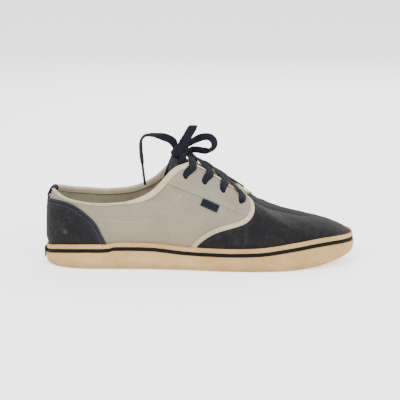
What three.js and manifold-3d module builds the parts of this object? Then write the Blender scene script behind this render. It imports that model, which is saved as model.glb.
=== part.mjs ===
// A right low-top skate shoe: canvas quarters, suede toe and counter, moulded cup sole, flat laces tied in a bow.
// Millimetres. +X points to the toe, +Y to the inner side of the foot, +Z up. The floor is z = 0.
import * as THREE from "three";
import { mergeVertices } from "three/addons/utils/BufferGeometryUtils.js";
import Module from "manifold-3d";

const wasm = await Module();
wasm.setup();

// Driving sizes
const soleLength = 298;
const ballWidth = 106;
const heelWidth = 74;
const instepHeight = 102;
const heelRound = 44;
const toeRound = 92;
const toeShift = 7;
const sideShift = -0.45 * toeShift;
const heelLean = 27;
const toeLean = 51.5;
const ridgeShift = 0.9;
const lastDrop = 2;

// Sole sizes
const sidewallHeight = 25;
const floorHeight = 14;
const toeSpring = 10;
const wallInset = 3;
const skirtInset = 1.2;
const skirtDepth = 5;
const soleEdgeInset = 4.5;
const edgeCurve = { low: 1.2, high: 4 };
const bandInset = 1.3;
const stripeHeight = 3;
const stripeDepth = 1;
const stripeInset = 0.7;
const bandHeight = 4.6;
const bandRound = 1;
const lipRise = 1.6;
const treadDepth = 1.4;
const treadGroove = 2.4;
const treadPitch = 15;
const treadMargin = 9;
const badgeWidth = 24;
const badgeHeight = 9;
const badgeThick = 1.1;
const badgeZ = 5.5;

// Upper sizes
const upperWall = 1.8;
const quarterStep = 0.8;
const overlayThick = 1;
const eyestayThick = 0.7;
const tapeThick = 0.8;
const tapeWidth = 4.6;
const bindingWidth = 3.8;
const counterTapeWidth = 5;
const counterTapeThick = 1.3;
const collarHeight = 62.8;
const throatTopHeight = 97.2;
const collarTilt = 0.04;
const throatGap = 31;
const tongueThick = 4.5;
const tongueWidth = 66;
const tongueTop = { x: -24, z: 111 };
const tongueSlope = 0.42;
const tongueRoot = 46;
const tongueTuck = 10;
const insoleThick = 3.5;
const clearance = 0.3;

// Lace and label sizes
const laceWidth = 8;
const laceThick = 1.2;
const eyeletRadius = 2.2;
const knotSize = { x: 12, y: 13, z: 8 };
const knotTurn = 0.5;
const agletLength = 20;
const agletRadius = 1.5;
const sideLabel = { width: 18, drop: 7.2 };
const heelLabel = { width: 15, drop: 8 };

const halfLength = soleLength / 2;

// Sections of the last. at runs from the heel, 0, to the toe, 1. outer and inner are the half widths, 0 being the
// heel's and 1 the ball's. ridge is the height of the closed form's top line as a share of the instep height, and
// square the exponent of the rib, larger being boxier.
const sections = [
  { at: 0.0, outer: -0.1, inner: -0.1, ridge: 0.77, square: 4.0 },
  { at: 0.12, outer: 0.0, inner: 0.0, ridge: 0.87, square: 3.4 },
  { at: 0.25, outer: 0.05, inner: -0.02, ridge: 1.06, square: 2.7 },
  { at: 0.38, outer: 0.22, inner: -0.05, ridge: 1.115, square: 2.2 },
  { at: 0.5, outer: 0.52, inner: 0.12, ridge: 0.99, square: 2.05 },
  { at: 0.6, outer: 0.82, inner: 0.48, ridge: 0.86, square: 1.95 },
  { at: 0.7, outer: 0.99, inner: 0.86, ridge: 0.685, square: 1.95 },
  { at: 0.8, outer: 0.95, inner: 1.02, ridge: 0.535, square: 2.0 },
  { at: 0.9, outer: 0.72, inner: 1.02, ridge: 0.46, square: 1.9 },
  { at: 1.0, outer: 0.45, inner: 0.95, ridge: 0.418, square: 1.6 },
];

// Heights along the sole, as shares of the sidewall, floor and toe spring sizes. top is the sidewall's upper edge,
// floor the cup's inside, and rise the lift of the underside.
const soleHeights = [
  { at: 0.0, top: 0.74, floor: 1.0, rise: 0.1 },
  { at: 0.05, top: 0.88, floor: 1.0, rise: 0.0 },
  { at: 0.12, top: 0.95, floor: 1.0, rise: 0.0 },
  { at: 0.205, top: 0.97, floor: 0.98, rise: 0.0 },
  { at: 0.2265, top: 1.03, floor: 0.97, rise: 0.0 },
  { at: 0.35, top: 1.03, floor: 0.9, rise: 0.03 },
  { at: 0.455, top: 0.92, floor: 0.8, rise: 0.03 },
  { at: 0.6, top: 0.885, floor: 0.68, rise: 0.0 },
  { at: 0.7, top: 0.93, floor: 0.66, rise: 0.0 },
  { at: 0.8, top: 1.07, floor: 0.7, rise: 0.02 },
  { at: 0.9, top: 1.17, floor: 0.9, rise: 0.28 },
  { at: 1.0, top: 1.15, floor: 1.3, rise: 1.0 },
];

// The collar's edge in side view: x as a share of half the length, up as the share of the way from the collar's
// lowest height to the throat's top.
const collarLine = [
  { x: -1.04, up: 0.3 },
  { x: -0.97, up: 0.28 },
  { x: -0.93, up: 0.25 },
  { x: -0.885, up: 0.17 },
  { x: -0.84, up: 0.105 },
  { x: -0.74, up: 0.04 },
  { x: -0.62, up: 0.0 },
  { x: -0.47, up: 0.05 },
  { x: -0.385, up: 0.16 },
  { x: -0.33, up: 0.27 },
  { x: -0.283, up: 0.41 },
  { x: -0.24, up: 0.59 },
  { x: -0.2, up: 0.78 },
  { x: -0.155, up: 0.94 },
  { x: -0.105, up: 1.0 },
  { x: 0.04, up: 1.1 },
];

// The quarter's front edge in side view, from over its tip back to the sole. up is the share of the throat's top
// height.
const quarterLine = [
  { x: 0.372, up: 0.9 },
  { x: 0.364, up: 0.7 },
  { x: 0.352, up: 0.582 },
  { x: 0.337, up: 0.538 },
  { x: 0.305, up: 0.482 },
  { x: 0.26, up: 0.447 },
  { x: 0.16, up: 0.405 },
  { x: 0.09, up: 0.368 },
  { x: 0.021, up: 0.3 },
  { x: -0.022, up: 0.235 },
  { x: -0.06, up: 0.14 },
];

// Half of the opening between the facings in plan, from the collar to its base: x as a share of half the length,
// y as a share of half the throat's gap.
const throatLine = [
  { x: -0.36, y: 1.3 },
  { x: -0.16, y: 1.05 },
  { x: 0.0, y: 1.0 },
  { x: 0.114, y: 1.1 },
  { x: 0.188, y: 1.18 },
  { x: 0.235, y: 1.05 },
  { x: 0.268, y: 0.8 },
  { x: 0.282, y: 0.5 },
  { x: 0.286, y: 0.25 },
];

// The rounded tip of one quarter in plan, from the throat's base outwards, in the same shares
const tipLine = [
  { x: 0.275, y: 0.3 },
  { x: 0.292, y: 0.58 },
  { x: 0.315, y: 0.9 },
  { x: 0.338, y: 1.4 },
  { x: 0.35, y: 1.9 },
  { x: 0.358, y: 2.4 },
];

// The counter's upper edge in side view, from behind the heel to the sole.
const counterLine = [
  { x: -1.04, up: 0.64 },
  { x: -0.95, up: 0.655 },
  { x: -0.865, up: 0.655 },
  { x: -0.786, up: 0.622 },
  { x: -0.717, up: 0.55 },
  { x: -0.656, up: 0.458 },
  { x: -0.62, up: 0.35 },
  { x: -0.59, up: 0.25 },
  { x: -0.575, up: 0.14 },
];

// The seam under the eyelets, from the collar to the quarter's front edge.
const eyestaySeam = [
  { x: -0.26, up: 0.87 },
  { x: -0.1, up: 0.768 },
  { x: 0.04, up: 0.69 },
  { x: 0.16, up: 0.61 },
  { x: 0.31, up: 0.51 },
];

// Eyelets of one side, from the collar down to the toe.
const eyelets = [
  { x: -0.091, up: 0.889 },
  { x: 0.029, up: 0.831 },
  { x: 0.143, up: 0.75 },
  { x: 0.254, up: 0.646 },
];

// Where the tread's grooves and the arch's recess run, as shares of half the length
const treadFields = [
  { from: -0.86, to: -0.42 },
  { from: 0.1, to: 0.78 },
];
const archRecess = { from: -0.34, to: 0.02 };

// Interpolation of a table by smooth cubics
function along(table, column, at) {
  const last = table.length - 1;
  let i = 0;
  while (i < last - 1 && at > table[i + 1].at) i += 1;
  const slope = (k) => {
    const a = table[Math.max(0, k - 1)];
    const b = table[Math.min(last, k + 1)];
    return (b[column] - a[column]) / (b.at - a.at);
  };
  const span = table[i + 1].at - table[i].at;
  const t = (at - table[i].at) / span;
  const t2 = t * t;
  const t3 = t2 * t;
  return (
    (2 * t3 - 3 * t2 + 1) * table[i][column] +
    (t3 - 2 * t2 + t) * span * slope(i) +
    (3 * t2 - 2 * t3) * table[i + 1][column] +
    (t3 - t2) * span * slope(i + 1)
  );
}

function smooth(from, to, value) {
  const t = Math.min(1, Math.max(0, (value - from) / (to - from)));
  return t * t * (3 - 2 * t);
}

const soleTop = (at) => sidewallHeight * along(soleHeights, "top", at);
const cupFloor = (at) => floorHeight * along(soleHeights, "floor", at);
const underside = (at) => toeSpring * Math.max(0, along(soleHeights, "rise", at));
const swing = (at) => toeShift * smooth(0.45, 1, at);
const centreLine = (at) => sideShift + swing(at);

// How far the outline has closed in towards its rounded heel and toe
function endRound(at, length) {
  const heelPower = 2.15;
  const toePower = 2.25;
  const quarter = (distance, radius, power) =>
    distance >= radius
      ? 1
      : Math.pow(1 - Math.pow(1 - Math.max(0, distance) / radius, power), 1 / power);
  return quarter(at * length, heelRound, heelPower) * quarter((1 - at) * length, toeRound, toePower);
}

// A point of the footprint. side is -1 on the outer side and 1 on the inner one.
function footprint(at, side, inset) {
  const share = along(sections, side < 0 ? "outer" : "inner", at);
  const half = (heelWidth + (ballWidth - heelWidth) * share) / 2 - inset;
  const length = soleLength - 2 * inset;
  return {
    x: -length / 2 + at * length,
    y: centreLine(at) + side * half * endRound(at, length),
  };
}

function ridgePoint(at) {
  const back = -halfLength + heelLean;
  const front = halfLength - toeLean;
  return new THREE.Vector3(
    back + (front - back) * at,
    sideShift + swing(at) * ridgeShift,
    instepHeight * along(sections, "ridge", at),
  );
}

// A point on the last's side: turn runs up a rib from the sole's edge, 0, to the ridge, 1.
function lastPoint(at, side, turn) {
  const power = 2 / along(sections, "square", at);
  const foot = footprint(at, side, wallInset);
  const ridge = ridgePoint(at);
  const base = soleTop(at) - lastDrop;
  const out = turn >= 1 ? 0 : Math.pow(Math.cos((turn * Math.PI) / 2), power);
  const up = Math.pow(Math.sin((turn * Math.PI) / 2), power);
  return new THREE.Vector3(
    ridge.x + (foot.x - ridge.x) * out,
    ridge.y + (foot.y - ridge.y) * out,
    base + (ridge.z - base) * up,
  );
}

const throatMiddle = ridgePoint(0.6).y;

// Stations round the outline, close together at heel and toe, with one more where the sidewall's bend starts: the
// outer side first, then back along the inner one.
const divisions = 19;
const bendStart = 0.205;
const spots = [
  ...Array.from({ length: divisions + 1 }, (_, i) => (1 - Math.cos((Math.PI * i) / divisions)) / 2),
  bendStart,
].sort((a, b) => a - b);
const stations = 2 * (spots.length - 1);
const turns = [0, 0.1, 0.21, 0.33, 0.46, 0.6, 0.74, 0.88, 1];

function station(index) {
  const outer = index < spots.length;
  return { at: spots[outer ? index : stations - index], side: outer ? -1 : 1 };
}

// Triangles between closed rings of equal count, with the first and last ring capped across the outline
function ringGeometry(rings, closed) {
  const count = rings[0].length;
  const positions = rings.flat().flatMap((p) => [p.x, p.y, p.z]);
  const faces = [];
  const layers = closed ? rings.length : rings.length - 1;
  for (let j = 0; j < layers; j += 1) {
    const below = j * count;
    const above = ((j + 1) % rings.length) * count;
    for (let i = 0; i < count; i += 1) {
      const next = (i + 1) % count;
      faces.push(below + i, below + next, above + next, below + i, above + next, above + i);
    }
  }
  if (!closed) {
    const top = (rings.length - 1) * count;
    for (let i = 0; i < count / 2; i += 1) {
      const a = i;
      const b = i + 1;
      const c = (count - b) % count;
      const d = (count - a) % count;
      faces.push(a, d, c, a, c, b);
      faces.push(top + a, top + c, top + d, top + a, top + b, top + c);
    }
  }
  const geometry = new THREE.BufferGeometry();
  geometry.setAttribute("position", new THREE.Float32BufferAttribute(positions, 3));
  geometry.setIndex(faces.filter((_, k) => {
    const f = Math.floor(k / 3) * 3;
    return new Set([faces[f], faces[f + 1], faces[f + 2]]).size === 3;
  }));
  return geometry;
}

function solidOf(geometry) {
  const bare = geometry.clone();
  bare.deleteAttribute("normal");
  bare.deleteAttribute("uv");
  const merged = mergeVertices(bare, 1e-4);
  const index = merged.index.array;
  const triVerts = [];
  for (let f = 0; f < index.length; f += 3) {
    const [a, b, c] = [index[f], index[f + 1], index[f + 2]];
    if (a !== b && b !== c && c !== a) triVerts.push(a, b, c);
  }
  return new wasm.Manifold(
    new wasm.Mesh({
      numProp: 3,
      vertProperties: new Float32Array(merged.attributes.position.array),
      triVerts: new Uint32Array(triVerts),
    }),
  );
}

function geometryOf(solid) {
  const mesh = solid.getMesh();
  const positions = new Float32Array(mesh.numVert * 3);
  for (let i = 0; i < mesh.numVert; i += 1) {
    const start = i * mesh.numProp;
    positions.set(mesh.vertProperties.subarray(start, start + 3), i * 3);
  }
  const geometry = new THREE.BufferGeometry();
  geometry.setAttribute("position", new THREE.BufferAttribute(positions, 3));
  geometry.setIndex(new THREE.BufferAttribute(mesh.triVerts, 1));
  return geometry;
}

// The last's skin, from well under the sole's edge up to the ridge, with a normal at each point
const lastSkin = (() => {
  const rings = [];
  const skirt = (drop, extra) =>
    Array.from({ length: stations }, (_, i) => {
      const { at, side } = station(i);
      const p = footprint(at, side, wallInset + extra);
      return new THREE.Vector3(p.x, p.y, soleTop(at) - lastDrop - drop);
    });
  rings.push(skirt(2 * sidewallHeight, skirtInset));
  rings.push(skirt(skirtDepth, skirtInset));
  for (const turn of turns) {
    rings.push(
      Array.from({ length: stations }, (_, i) => {
        const { at, side } = station(i);
        return lastPoint(at, side, turn);
      }),
    );
  }
  const geometry = mergeVertices(ringGeometry(rings, false), 1e-3);
  geometry.computeVertexNormals();
  return geometry;
})();

// The closed form of the last, grown or shrunk along its normals
function lastForm(offset) {
  const geometry = lastSkin.clone();
  const place = geometry.attributes.position;
  const normal = geometry.attributes.normal;
  for (let i = 0; i < place.count; i += 1) {
    const low = place.getZ(i) < -sidewallHeight / 4;
    const flat = Math.hypot(normal.getX(i), normal.getY(i)) || 1;
    const dx = low ? normal.getX(i) / flat : normal.getX(i);
    const dy = low ? normal.getY(i) / flat : normal.getY(i);
    const dz = low ? 0 : normal.getZ(i);
    place.setXYZ(
      i,
      place.getX(i) + dx * offset,
      place.getY(i) + dy * offset,
      place.getZ(i) + dz * offset,
    );
  }
  return solidOf(geometry);
}

const shells = new Map();
function shell(outer, inner) {
  for (const offset of [outer, inner]) {
    if (!shells.has(offset)) shells.set(offset, lastForm(offset));
  }
  return shells.get(outer).subtract(shells.get(inner));
}

// Side-view and plan-view cutters
const reach = 2 * ballWidth;
const sky = 2 * instepHeight;

function sideCutter(points, yFrom = -reach, yTo = reach, tilt = 0) {
  const shape = new THREE.Shape(points.map((p) => new THREE.Vector2(p.x, p.z)));
  const geometry = new THREE.ExtrudeGeometry(shape, { depth: yTo - yFrom, bevelEnabled: false });
  // The shape's plane becomes XZ, and its depth runs along -Y.
  geometry.rotateX(Math.PI / 2);
  geometry.translate(0, yTo, 0);
  const place = geometry.attributes.position;
  for (let i = 0; i < place.count; i += 1) {
    place.setZ(i, place.getZ(i) + tilt * place.getY(i));
  }
  return solidOf(geometry);
}

function planCutter(points, zFrom, zTo) {
  const shape = new THREE.Shape(points.map((p) => new THREE.Vector2(p.x, p.y)));
  const geometry = new THREE.ExtrudeGeometry(shape, { depth: zTo - zFrom, bevelEnabled: false });
  geometry.translate(0, 0, zFrom);
  return solidOf(geometry);
}

// A table of side-view points as a smooth line in millimetres, moved sideways by a distance
function sideLine(table, heightOf, steps, distance = 0) {
  const curve = new THREE.SplineCurve(
    table.map((p) => new THREE.Vector2(p.x * halfLength, heightOf(p.up))),
  );
  return Array.from({ length: steps + 1 }, (_, i) => {
    const t = i / steps;
    const p = curve.getPoint(t);
    const d = curve.getTangent(t);
    return { x: p.x - d.y * distance, z: p.y + d.x * distance };
  });
}

const collarHeightAt = (up) => collarHeight + (throatTopHeight - collarHeight) * up;
const sharedHeight = (up) => throatTopHeight * up;
const collarEdge = (distance = 0) => sideLine(collarLine, collarHeightAt, 18, distance);
const quarterEdge = (distance = 0) => sideLine(quarterLine, sharedHeight, 16, distance);
const counterEdge = (distance = 0) => sideLine(counterLine, sharedHeight, 12, distance);
const seamEdge = (distance = 0) => sideLine(eyestaySeam, sharedHeight, 6, distance);

// Everything above a collar line moved up by a distance
function aboveCollar(distance) {
  const line = collarEdge(distance);
  const first = line[0];
  const last = line[line.length - 1];
  return sideCutter(
    [...line, { x: last.x, z: sky }, { x: first.x, z: sky }],
    -reach,
    reach,
    collarTilt,
  );
}

// Everything above a height profile along the shoe
function aboveProfile(heightAt, lift) {
  const over = 8;
  const length = soleLength - 2 * bandInset;
  const line = spots.map((at) => ({ x: length * (at - 0.5), z: heightAt(at) + lift }));
  const first = { x: -halfLength - over, z: line[0].z };
  const last = { x: halfLength + over, z: line[line.length - 1].z };
  return sideCutter([first, ...line, last, { x: last.x, z: sky }, { x: first.x, z: sky }]);
}

// A plan region either side of the throat's middle, from a line along one half of it
function mirroredPlan(half) {
  const shift = throatMiddle;
  const mirrored = half.map((p) => ({ x: p.x, y: -p.y })).reverse();
  const points = [...mirrored, ...half].map((p) => ({ x: p.x, y: p.y + shift }));
  return planCutter(points, collarHeight * 0.6, sky);
}

function throat() {
  return mirroredPlan(throatLine.map((p) => ({ x: p.x * halfLength, y: (p.y * throatGap) / 2 })));
}

// Everything in front of the quarters' tips, its edge moved back by a distance
function frontOfTips(distance) {
  const curve = new THREE.SplineCurve(
    tipLine.map((p) => new THREE.Vector2(p.x * halfLength, (p.y * throatGap) / 2)),
  );
  const steps = 7;
  const half = Array.from({ length: steps + 1 }, (_, i) => {
    const p = curve.getPoint(i / steps);
    const d = curve.getTangent(i / steps);
    return { x: p.x - d.y * distance, y: p.y + d.x * distance };
  });
  return mirroredPlan([...half, { x: halfLength, y: half[steps].y }]);
}

function joined(solids) {
  return solids.reduce((a, b) => a.add(b));
}

// The place on the last at a side-view point, with the direction outwards there
function onSide(x, z, side) {
  const at = (target, turn) => {
    let low = 0;
    let high = 1;
    for (let i = 0; i < 40; i += 1) {
      const middle = (low + high) / 2;
      if (lastPoint(middle, side, turn).x < target) low = middle;
      else high = middle;
    }
    return (low + high) / 2;
  };
  let low = 0;
  let high = 1;
  for (let i = 0; i < 40; i += 1) {
    const turn = (low + high) / 2;
    if (lastPoint(at(x, turn), side, turn).z < z) low = turn;
    else high = turn;
  }
  const turn = (low + high) / 2;
  return { at: at(x, turn), side, turn };
}

// A point on the last and its outward normal. across runs from the outer side, -1, over the ridge, 0, to 1.
function onLast(at, across, offset) {
  const point = (a, w) => lastPoint(a, w < 0 ? -1 : 1, 1 - Math.abs(w));
  const step = 0.02;
  const p = point(at, across);
  const ahead = point(Math.min(1, at + step), across).sub(point(at - step, across));
  const over = point(at, Math.min(1, across + step)).sub(point(at, Math.max(-1, across - step)));
  const normal = ahead.cross(over).normalize();
  return { place: p.addScaledVector(normal, offset), normal };
}

// Sole
function soleRing(inset, heightAt) {
  return Array.from({ length: stations }, (_, i) => {
    const { at, side } = station(i);
    const p = footprint(at, side, inset);
    return new THREE.Vector3(p.x, p.y, heightAt(at));
  });
}

const stripeTop = (at) => soleTop(at) - bandHeight;
const stripeLow = (at) => stripeTop(at) - stripeHeight;

function makeSole() {
  const grooveInset = stripeInset + stripeDepth + clearance;
  const outside = ringGeometry(
    [
      soleRing(soleEdgeInset, underside),
      soleRing(soleEdgeInset * 0.3, (at) => underside(at) + edgeCurve.low),
      soleRing(soleEdgeInset * 0.1, (at) => underside(at) + edgeCurve.high),
      soleRing(0, (at) => (underside(at) + 2 * stripeLow(at)) / 3),
      soleRing(0, (at) => stripeLow(at) - lipRise),
      soleRing(clearance, (at) => stripeLow(at) - clearance),
      soleRing(grooveInset, (at) => stripeLow(at) - clearance),
      soleRing(grooveInset, (at) => stripeTop(at) + clearance),
      soleRing(bandInset, (at) => stripeTop(at) + clearance),
      soleRing(bandInset, (at) => soleTop(at) - bandRound),
      soleRing(bandInset + bandRound * 0.3, soleTop),
    ],
    false,
  );
  const cavity = lastForm(clearance).intersect(aboveProfile(cupFloor, 0));
  return solidOf(outside).subtract(cavity).subtract(joined(treadGrooves()));
}

// Grooves across the heel and the forefoot, and a shallow recess under the arch
function treadGrooves() {
  const cuts = [];
  for (const field of treadFields) {
    const start = field.from * halfLength;
    const count = Math.floor(((field.to - field.from) * halfLength) / treadPitch);
    for (let i = 0; i <= count; i += 1) {
      const x = start + i * treadPitch;
      cuts.push(groove(x - treadGroove / 2, x + treadGroove / 2, treadMargin, treadDepth));
    }
  }
  const { from, to } = archRecess;
  cuts.push(groove(from * halfLength, to * halfLength, treadMargin * 1.2, treadDepth));
  return cuts;
}

// One groove across the underside, following the outline a margin inside it
function groove(xFrom, xTo, margin, depth) {
  const corner = (x, side) => {
    const at = (x + halfLength) / soleLength;
    return { x, y: footprint(at, side, margin).y };
  };
  const lift = underside(((xFrom + xTo) / 2 + halfLength) / soleLength);
  const steps = xTo - xFrom > treadPitch ? 4 : 1;
  const xs = Array.from({ length: steps + 1 }, (_, i) => xFrom + ((xTo - xFrom) * i) / steps);
  return planCutter(
    [...xs.map((x) => corner(x, -1)), ...xs.reverse().map((x) => corner(x, 1))],
    -1,
    lift + depth,
  );
}

function makeStripe() {
  const outer = stripeInset;
  const inner = stripeInset + stripeDepth;
  return solidOf(
    ringGeometry(
      [
        soleRing(outer, stripeLow),
        soleRing(outer, stripeTop),
        soleRing(inner, stripeTop),
        soleRing(inner, stripeLow),
      ],
      true,
    ),
  );
}

// A rubber plate on the back of the sole, cut between two grown footprints
function makeBadge() {
  const plate = (inset) =>
    solidOf(
      ringGeometry(
        [
          soleRing(inset, () => badgeZ),
          soleRing(inset, () => badgeZ + badgeHeight),
        ],
        false,
      ),
    );
  const region = planCutter(
    [
      { x: -halfLength - 2 * badgeThick, y: -badgeWidth / 2 },
      { x: -halfLength * 0.9, y: -badgeWidth / 2 },
      { x: -halfLength * 0.9, y: badgeWidth / 2 },
      { x: -halfLength - 2 * badgeThick, y: badgeWidth / 2 },
    ],
    0,
    sidewallHeight,
  );
  return plate(-clearance - badgeThick).subtract(plate(-clearance)).intersect(region);
}

// Upper
const quarterOut = quarterStep;
const overlayFrom = quarterStep + clearance;

function quarterRegion(distance) {
  const line = quarterEdge(distance);
  const last = line[line.length - 1];
  const behind = -halfLength * 1.1;
  return sideCutter([
    ...line,
    { x: last.x, z: 0 },
    { x: behind, z: 0 },
    { x: behind, z: sky },
    { x: line[0].x, z: sky },
  ]);
}

function eyeletHoles(radius) {
  const holes = [];
  for (const side of [-1, 1]) {
    for (const eyelet of eyelets) {
      const spot = onSide(eyelet.x * halfLength, sharedHeight(eyelet.up), side);
      const { place, normal } = onLast(spot.at, side * (1 - spot.turn), 0);
      const hole = new THREE.CylinderGeometry(radius, radius, 12, 6);
      hole.applyQuaternion(
        new THREE.Quaternion().setFromUnitVectors(new THREE.Vector3(0, 1, 0), normal),
      );
      hole.translate(place.x, place.y, place.z);
      holes.push(solidOf(hole));
    }
  }
  return joined(holes);
}

const holes = eyeletHoles(eyeletRadius);

function makeUpper() {
  const quarters = lastForm(quarterOut)
    .intersect(quarterRegion(0))
    .intersect(aboveProfile(soleTop, clearance))
    .subtract(frontOfTips(0));
  return lastForm(0)
    .add(quarters)
    .subtract(lastForm(-upperWall))
    .intersect(aboveProfile(cupFloor, clearance))
    .subtract(aboveCollar(0))
    .subtract(throat())
    .subtract(holes);
}

// A piece laid on the quarters, above the sole's band
function overlay(thickness, region, from = overlayFrom) {
  return shell(from + thickness, from).intersect(region).intersect(aboveProfile(soleTop, clearance));
}

function belowLine(line) {
  const first = line[0];
  const last = line[line.length - 1];
  return sideCutter([...line, { x: last.x, z: -1 }, { x: first.x, z: -1 }].reverse());
}

function makeCounter() {
  return overlay(overlayThick, belowLine(counterEdge(-counterTapeWidth)))
    .subtract(aboveCollar(-bindingWidth - clearance));
}

function makeCounterTape() {
  const outer = counterEdge(0);
  const inner = counterEdge(-counterTapeWidth + clearance).reverse();
  return overlay(counterTapeThick, sideCutter([...outer, ...inner].reverse()))
    .subtract(aboveCollar(-bindingWidth - clearance));
}

function half(solid, side) {
  const edge = throatMiddle;
  const box = planCutter(
    [
      { x: -reach, y: edge },
      { x: reach, y: edge },
      { x: reach, y: side * reach },
      { x: -reach, y: side * reach },
    ],
    -1,
    sky,
  );
  return solid.intersect(box);
}

function quarterTape(side) {
  const inside = quarterRegion(-tapeWidth).subtract(frontOfTips(tapeWidth));
  const tape = overlay(tapeThick, quarterRegion(0))
    .subtract(frontOfTips(0))
    .subtract(inside)
    .subtract(throat());
  return half(tape, side);
}

function eyestay(side) {
  const seam = seamEdge(0);
  const last = seam[seam.length - 1];
  const region = sideCutter([
    ...seam,
    { x: last.x + 2 * tapeWidth, z: last.z },
    { x: last.x + 2 * tapeWidth, z: sky },
    { x: seam[0].x, z: sky },
  ]);
  const piece = overlay(eyestayThick, region)
    .intersect(quarterRegion(-tapeWidth - clearance))
    .subtract(frontOfTips(tapeWidth + clearance))
    .subtract(aboveCollar(-bindingWidth - clearance))
    .subtract(throat())
    .subtract(holes);
  return half(piece, side);
}

// A tape on the quarter under the collar's edge, turned over the top of the wall
function makeCollarBinding() {
  const wall = shell(overlayFrom, -upperWall - clearance).subtract(aboveCollar(clearance));
  return shell(overlayFrom + tapeThick, -upperWall)
    .subtract(aboveCollar(clearance + tapeThick))
    .intersect(aboveCollar(-bindingWidth))
    .subtract(wall)
    .subtract(throat());
}

function makeSideLabel() {
  const seam = seamEdge(-clearance).slice(3);
  const top = [seam[0], seam[2]];
  const along = new THREE.Vector2(top[1].x - top[0].x, top[1].z - top[0].z).normalize();
  const down = { x: along.y * sideLabel.drop, z: -along.x * sideLabel.drop };
  const end = {
    x: top[0].x + along.x * sideLabel.width,
    z: top[0].z + along.y * sideLabel.width,
  };
  const region = sideCutter([
    top[0],
    { x: top[0].x + down.x, z: top[0].z + down.z },
    { x: end.x + down.x, z: end.z + down.z },
    end,
  ]);
  return half(overlay(overlayThick, region), -1);
}

function makeHeelLabel() {
  const from = overlayFrom + tapeThick + clearance;
  const region = planCutter(
    [
      { x: -halfLength * 1.1, y: -heelLabel.width / 2 },
      { x: -halfLength * 0.8, y: -heelLabel.width / 2 },
      { x: -halfLength * 0.8, y: heelLabel.width / 2 },
      { x: -halfLength * 1.1, y: heelLabel.width / 2 },
    ],
    0,
    sky,
  );
  return shell(from + tapeThick, from)
    .intersect(region)
    .intersect(aboveCollar(-heelLabel.drop))
    .subtract(aboveCollar(clearance));
}

function makeInsole() {
  return lastForm(-upperWall - clearance)
    .intersect(aboveProfile(cupFloor, clearance))
    .subtract(aboveProfile(cupFloor, clearance + insoleThick));
}

function makeTongue() {
  const outer = -upperWall - clearance - tapeThick - clearance;
  const base = throatLine[throatLine.length - 1].x * halfLength;
  const front = base + tongueTuck;
  const w = tongueWidth / 2;
  const shift = throatMiddle;
  const outline = planCutter(
    [
      { x: -halfLength * 0.5, y: shift - w },
      { x: base * 0.4, y: shift - w * 0.8 },
      { x: front, y: shift - w * 0.62 },
      { x: front, y: shift + w * 0.62 },
      { x: base * 0.4, y: shift + w * 0.8 },
      { x: -halfLength * 0.5, y: shift + w },
    ],
    tongueRoot,
    sky,
  );
  const cut = sideCutter([
    { x: tongueTop.x - tongueSlope * tongueTop.z, z: 0 },
    { x: halfLength, z: 0 },
    { x: halfLength, z: sky },
    { x: tongueTop.x + tongueSlope * (sky - tongueTop.z), z: sky },
  ]);
  return shell(outer, outer - tongueThick).intersect(outline).intersect(cut);
}

// Laces
// A flat band: four-sided sections along points, each with the direction its face looks in
function ribbon(frames, width, thick) {
  const w = width / 2;
  const h = thick / 2;
  const outline = [[-w, -h], [-w, h], [w, h], [w, -h]];
  const rings = frames.map(({ place, normal }, i) => {
    const before = frames[Math.max(0, i - 1)].place;
    const after = frames[Math.min(frames.length - 1, i + 1)].place;
    const forward = after.clone().sub(before).normalize();
    const face = normal.clone().addScaledVector(forward, -normal.dot(forward)).normalize();
    const across = forward.clone().cross(face);
    return outline.map(([a, b]) =>
      place.clone().addScaledVector(across, a).addScaledVector(face, b),
    );
  });
  return solidOf(ringGeometry(rings, false));
}

const eyeletSpots = [-1, 1].map((side) =>
  eyelets.map((e) => {
    const spot = onSide(e.x * halfLength, sharedHeight(e.up), side);
    return { at: spot.at, across: side * (1 - spot.turn) };
  }),
);

// A lace across the throat from one place on the last to another
function crossing(from, to) {
  const steps = 7;
  const lift = overlayFrom + eyestayThick + 3.5 * clearance + laceThick / 2;
  const frames = Array.from({ length: steps + 1 }, (_, i) => {
    const t = i / steps;
    return onLast(
      from.at + (to.at - from.at) * t,
      from.across + (to.across - from.across) * t,
      lift,
    );
  });
  return ribbon(frames, laceWidth, laceThick);
}

// The laces come up through the lowest eyelets. Above them each one comes out from under one facing's edge and
// goes down into the next eyelet of the other facing.
function makeCrossings() {
  const [outer, inner] = eyeletSpots;
  const bottom = eyelets.length - 1;
  const underEdge = 0.6;
  const bands = [];
  for (const [near, far] of [[outer, inner], [inner, outer]]) {
    for (let row = bottom; row > 0; row -= 1) {
      const share = row === bottom ? 1 : underEdge;
      const from = { at: near[row].at, across: near[row].across * share };
      bands.push(crossing(from, far[row - 1]));
    }
  }
  return joined(bands);
}

// The knot lies on the tongue, just above the top eyelets.
const knotPlace = onLast(0.462, -0.03, knotSize.z / 2 - upperWall - tapeThick - clearance).place;

function makeKnot() {
  const ball = new THREE.SphereGeometry(0.5, 12, 8);
  ball.scale(knotSize.x, knotSize.y, knotSize.z);
  ball.rotateY(knotTurn);
  ball.translate(knotPlace.x, knotPlace.y, knotPlace.z);
  return solidOf(ball);
}

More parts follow.
